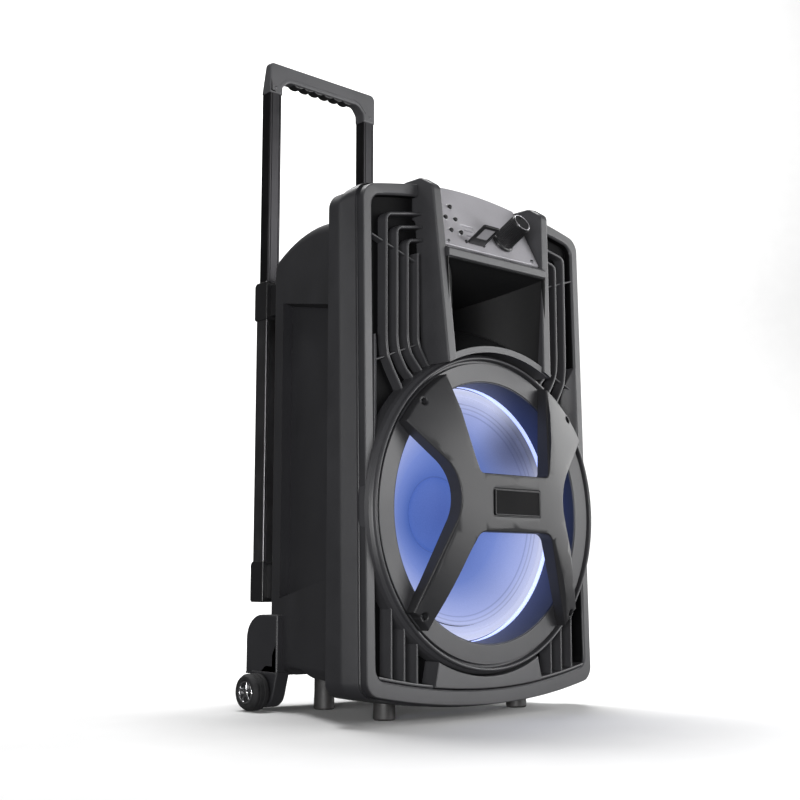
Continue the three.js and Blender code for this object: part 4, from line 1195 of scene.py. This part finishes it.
INNER_TUBE = (22, 20)
OUTER_TUBE = (27, 25)


def tube_section(size):
    """Tube section about its own centre, with two fine grooves down its front and back."""
    w, d, corner = size[0] / 2, size[1] / 2, 3.2
    g = w - 4.2
    corners = []
    for turn in (1, -1):
        corners += [(turn * -w, turn * -d, corner)]
        for centre in (-g, g):
            corners += [(turn * (centre - 0.7), turn * -d), (turn * (centre - 0.5), turn * (-d + 0.8)),
                        (turn * (centre + 0.5), turn * (-d + 0.8)), (turn * (centre + 0.7), turn * -d)]
        corners += [(turn * w, turn * -d, corner)]
    return rounded(corners, 5)


def upright(loops, z0, z1, bevel, x):
    """A section drawn in X and Y about (x, TUBE_Y), standing from z0 to z1."""
    verts, faces = slab(loops, -z1, -z0, bevel, bevel, steps=2)
    return [(x + a, TUBE_Y + b, -d) for a, d, b in verts], faces


def tube(name, size, x, z0, z1, rides, node, finish):
    """A hollow drawn tube."""
    wall = 1.6
    w, d = size[0] / 2 - wall, size[1] / 2 - wall
    section = [tube_section(size), box_outline(-w, -d, w, d, wall)[::-1]]
    piece(name, upright(section, z0, z1, 0.25, x), finish, node, rides, angle=30)


def bracket(name, node, z0, z1, tube_from, tube_to):
    """Two blocks that hold the outer tubes, joined by a ribbed bar against the cabinet."""
    high = extent(node)[1]
    body = Body()
    half, lug, near = high.x, 15.6, TUBE_Y - 15
    for side in SIDES.values():
        x = side * TUBE_X
        shape = rounded([(near, z0, 2), (high.y - 1, z0, 4), (high.y - 1, z1, 7), (near, z1, 3)], 6)
        block = slab([shape], -lug, lug, 1.6, 1.6, steps=3)
        body.add(block, lambda y, d, z, x=x: (x + d, y, z))
        body.add(rounded_box((x - 8, REAR_BACK_Y + 0.3, z0 + 5), (x + 8, near + 2, z1 - 5), 2))
    made = piece(name, body, SOFT_BLACK, node)
    for side in SIDES.values():
        x = side * TUBE_X
        cut(made, upright([box_outline(-13.8, -12.8, 13.8, 12.8, 3.2)], tube_from, tube_to, 0.05, x))
        cut(made, upright([box_outline(-11.5, -10.5, 11.5, 10.5, 2.6)], z0 + 5, z1 + 20, 0.05, x))
    back = REAR_BACK_Y
    bar = Body().add(rounded_box((-half + 30, back + 0.3, z0 + 7), (half - 30, back + 11, z1 - 7), 2))
    for z in np.linspace(z0 + 15, z1 - 15, 4):
        bar.add(rounded_box((-half + 36, back + 9, z - 1.6), (half - 36, back + 13.5, z + 1.6), 1.2))
    piece(name + "_bar", bar, SOFT_BLACK, node)
    for label, side in SIDES.items():
        for k, inwards in enumerate((44, 62), 1):
            put = turned_back(side * (TUBE_X - inwards), back + 12.8, z1 - 12)
            screw_head("%s_screw_%s_%d" % (name, label, k), put, 3.2)


def handle():
    for name, side in SIDES.items():
        x = side * TUBE_X
        # The outer tubes take the brighter copy of the tube metal, with light painted on.
        tube("tube_outer_" + name, OUTER_TUBE, x, 147, 599.4, "cabinet", "outer_tube_" + name, PAINTED_LIGHT_TUBE)
        tube("tube_inner_" + name, INNER_TUBE, x, 510, 899.5, "handle", "inner_tube_" + name, TUBE)
        button = lathe(rounded([(0, -0.9), (2.6, -0.9, 1), (2.6, 1), (0, 1)], 3, closed=False), 24)
        wall = x + side * (INNER_TUBE[0] / 2 - 0.6)
        button = Body().add(button, lambda a, b, c: (wall - side * b, TUBE_Y + a, 530 + c))
        piece("lock_button_" + name, button, CAP, "inner_tube_" + name, "handle")
    bracket("bracket_upper", "handle_bracket_upper", 549, 606, 520, 600)
    bracket("bracket_lower", "handle_bracket_lower", 140, 198, 146, 230)
    grip()


def grip():
    """Grip: two sleeves over the tubes, an arched bar, a raised line, and finger ridges beneath."""
    low, high = extent("handle_grip")
    foot, top, front = low.z, high.z, low.y
    arch_top = 922.5
    outline = rounded([(-105, foot, 1.5), (-81, foot, 1.5), (-80.5, 912, 4), (-69, arch_top, 17),
                       (69, arch_top, 17), (80.5, 912, 4), (81, foot, 1.5), (105, foot, 1.5),
                       (105, top, 9), (-105, top, 7)], 7)

    def back(x, z):
        return high.y - max(0.0, z - (foot + 13)) * 0.31
    moulding = slab([outline], front, back, 2.2, 3.0, spacing=9, steps=4)
    piece("grip_moulding", moulding, GRIP, "handle_grip", rides="handle")
    line = [(-86, foot + 14), (-70, arch_top + 6.5, 18), (70, arch_top + 6.5, 18), (86, foot + 14)]
    line = rounded(line, 9, closed=False)
    rib = [(-0.8, front + 0.8), (-0.5, front - 0.5), (0.5, front - 0.5), (0.8, front + 0.8)]
    piece("grip_raised_line", swept(line, rib), GRIP, "handle_grip", rides="handle")
    ridges = Body()
    count, pitch = 6, 19.5
    for k in range(count):
        x = (k - (count - 1) / 2) * pitch
        scallop = [(9.6 * math.cos(t), -4.6 * math.sin(t)) for t in np.linspace(math.pi, 0, 13)][::-1]
        shape = counter_clockwise([(x + a, arch_top + 1.5 + b) for a, b in scallop])
        ridges.add(slab([shape], front + 2.4, high.y - 4, 1.2, 1.2, spacing=20, steps=3))
    piece("grip_finger_ridges", ridges, SOFT_BLACK, "handle_grip", rides="handle")
    for name, side in SIDES.items():
        screw_head("grip_screw_" + name, shifted(side * 94, front - 0.6, foot + 9.5), 2.4, rides="handle")


# ---------- wheels and feet ----------

def wheel(name, side):
    """Tyre with rounded shoulders and two tread grooves, a spoked hub cap, and its housing."""
    inner, outer = WHEEL_LOW.x, WHEEL_HIGH.x
    radius = WHEEL_RADIUS

    def put(a, along, c):
        return side * along, WHEEL_Y + a, WHEEL_Z + c
    profile = [(15.8, inner, 0.6), (radius - 2.5, inner, 2), (radius, inner + 3, 2.5)]
    for groove in (inner + 8.2, inner + 15):
        profile += [(radius, groove, 0.3), (radius - 1, groove + 0.4, 0.3),
                    (radius - 1, groove + 1.4, 0.3), (radius, groove + 1.8, 0.3)]
    profile += [(radius, outer - 5, 3), (radius - 3.2, outer, 2.5), (15.8, outer, 0.8)]
    tread = Body().add(lathe(rounded(profile, 4), 96, closed=True), put)
    rides, hub_node = "wheel_" + name, "hub_" + name
    piece("tyre_tread_" + name, tread, TYRE, "tyre_" + name, rides)
    rim = rounded([(12.2, outer - 3, 0.4), (12.6, outer - 0.9, 0.5), (14.8, outer - 0.4, 0.5),
                   (15.6, outer - 1.2, 0.4), (15.6, inner + 1), (4.3, inner + 1), (4.3, outer - 5),
                   (12.2, outer - 5)], 3)
    hub = Body().add(lathe(rim, 64, closed=True), put)
    for k in range(5):
        turn = 2 * math.pi * k / 5 + 0.3
        verts, faces = rounded_box((3, outer - 4.6, -1.7), (13.2, outer - 1.6, 1.7), 0.8, 3)
        turned = [(a * math.cos(turn) - c * math.sin(turn), b, a * math.sin(turn) + c * math.cos(turn))
                  for a, b, c in verts]
        hub.add((turned, faces), put)
    piece("hub_cap_" + name, hub, CHROME, hub_node, rides)
    boss = rounded([(0, outer - 0.6), (3.6, outer - 0.8, 1.4), (5, outer - 2.4, 1), (5, outer - 3.6),
                    (0, outer - 3.6)], 4, closed=False)
    piece("hub_boss_" + name, Body().add(lathe(boss, 36), put), CHROME, hub_node, rides)
    dish = [(5, outer - 4.2), (12.1, outer - 4.2), (12.1, outer - 4.9), (5, outer - 4.9)]
    dish = lathe(dish, 48, closed=True)
    piece("hub_dish_" + name, Body().add(dish, put), SOFT_BLACK, hub_node, rides)
    housing(name, side)


def housing(name, side):
    """Wheel housing: a block on the cabinet's back corner, and the leg that holds the axle."""
    block = rounded([(246, 47.5, 2), (315.5, 47.5, 2), (315.5, 125, 33), (246, 125, 2)], 9)
    leg = rounded([(240, 50), (298, 50), (290, 3, 24), (254, 3, 24)], 9)
    body = Body()
    for shape, x0, x1 in ((block, 104, 156), (leg, 138, 160)):
        made = slab([counter_clockwise(shape)], x0, x1, 2.6, 2.6)
        body.add(made, lambda y, d, z: (side * d, y, z))
    ends = sorted((side * 108, side * 156))
    body.add(rounded_box((ends[0], 248, 45.6), (ends[1], 316, 48.4), 1))
    piece("wheel_housing_block_" + name, body, SHELL, "wheel_housing_" + name)


def feet():
    """Round rubber feet, a little wider at the floor, each with a step near its top."""
    for name in ("front_left", "front_right", "rear_left", "rear_right"):
        low, high = extent("foot_" + name)
        middle = (low + high) / 2
        radius = (high.x - low.x) / 2
        profile = rounded([(0, -low.z), (radius - 1.4, -low.z, 0.8), (radius, -low.z - 2, 1.2),
                           (radius - 0.7, -24, 1), (radius - 0.7, -high.z + 0.5), (0, -high.z + 0.5)],
                          4, closed=False)
        post = Body().add(lathe(profile, 64), lambda x, y, z: (middle.x + x, middle.y + z, -y))
        piece("foot_post_" + name, post, FOOT, "foot_" + name)


# ---------- pieces inside, kept as the frame has them ----------

def inner_pieces():
    """The parts inside keep their frame shape and take their own materials."""
    finishes = {"compression_driver": STEEL, "woofer_basket": STEEL, "voice_coil": COPPER,
                "spider": CLOTH, "woofer_magnet": FERRITE, "amplifier_board": BOARD,
                "power_transformer": FERRITE, "battery": SHELL, "axle_left": TUBE, "axle_right": TUBE}
    for node, finish in finishes.items():
        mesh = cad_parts[node].data
        mesh.materials.clear()
        mesh.materials.append(finish)


# ---------- stage ----------

def lamp(name, place, aim, width, height, power, colour=(1, 1, 1)):
    """Softbox at place, facing aim, both in metres."""
    data = bpy.data.lights.new(name, "AREA")
    data.shape = "RECTANGLE"
    data.size = width
    data.size_y = height
    data.energy = power
    data.color = colour
    obj = bpy.data.objects.new(name, data)
    obj.location = place
    obj.rotation_euler = (Vector(aim) - Vector(place)).to_track_quat("-Z", "Y").to_euler()
    bpy.context.scene.collection.objects.link(obj)


def ground(name, outline):
    """A strip of pale floor or backdrop, square to the camera's view, which lights nothing."""
    yaw = math.radians(-VIEW_YAW)
    verts = []
    for along, up in outline:
        for across in (-12, 12):
            verts.append((across * math.cos(yaw) - along * math.sin(yaw),
                          across * math.sin(yaw) + along * math.cos(yaw), up))
    faces = [(2 * k, 2 * k + 1, 2 * k + 3, 2 * k + 2) for k in range(len(outline) - 1)]
    mesh = bpy.data.meshes.new(name)
    mesh.from_pydata(verts, [], faces)
    mesh.polygons.foreach_set("use_smooth", [True] * len(faces))
    mesh.materials.append(FLOOR)
    obj = bpy.data.objects.new(name, mesh)
    bpy.context.scene.collection.objects.link(obj)
    obj.visible_glossy = obj.visible_diffuse = False


def stage():
    """Pale floor that runs up into a backdrop, soft boxes, and a dim even world."""
    far, bend = 3.2, 1.6
    ground("floor", [(-9.0, 0), (far, 0)])
    curve = [(far + bend * math.sin(t), bend * (1 - math.cos(t))) for t in np.linspace(0.1, math.pi / 2, 12)]
    ground("backdrop", [(far, 0), *curve, (far + bend, 8.0)])
    world = bpy.data.worlds.new("studio")
    bpy.context.scene.world = world
    world.use_nodes = True
    sky = world.node_tree.nodes["Background"]
    sky.inputs["Color"].default_value = (1, 1, 1, 1)
    sky.inputs["Strength"].default_value = 0.06
    lamp("front_softbox", (1.5, -2.4, 0.75), (0, 0, 0.3), 1.8, 1.5, 56)
    lamp("right_softbox", (2.6, -0.6, 1.0), (0, 0, 0.4), 1.4, 1.8, 45)
    lamp("left_strip", (-2.4, 0.35, 0.7), (0, -0.1, 0.35), 0.5, 1.4, 9)
    lamp("low_left_softbox", (-1.9, -1.7, 0.05), (-0.1, -0.1, 0.25), 1.2, 0.5, 72)
    lamp("backdrop_light", (0.5, 1.6, 4.2), (2.2, 3.4, 0.6), 3.0, 2.0, 400)
    bpy.context.scene.view_settings.view_transform = "Standard"


VIEW_YAW = 42.57
VIEW_PITCH = 8.05
VIEW_PLACE = (-1.1915, -1.2872, 0.1729)


def camera():
    data = bpy.data.cameras.new("camera")
    data.lens = 56.9
    data.sensor_width = 36
    obj = bpy.data.objects.new("camera", data)
    obj.location = VIEW_PLACE
    obj.rotation_euler = (math.radians(90 + VIEW_PITCH), 0, math.radians(-VIEW_YAW))
    bpy.context.scene.collection.objects.link(obj)
    bpy.context.scene.camera = obj


camera()
stage()
front_frame()
baffle()
apron()
louvres()
corner_vents()
fascia()
horn()
ring()
bezel()
woofer()
rear_shell()
rear_plate()
control_panel()
volume_knob()
media_flap()
handle()
for side_name, side_sign in SIDES.items():
    wheel(side_name, side_sign)
feet()
inner_pieces()
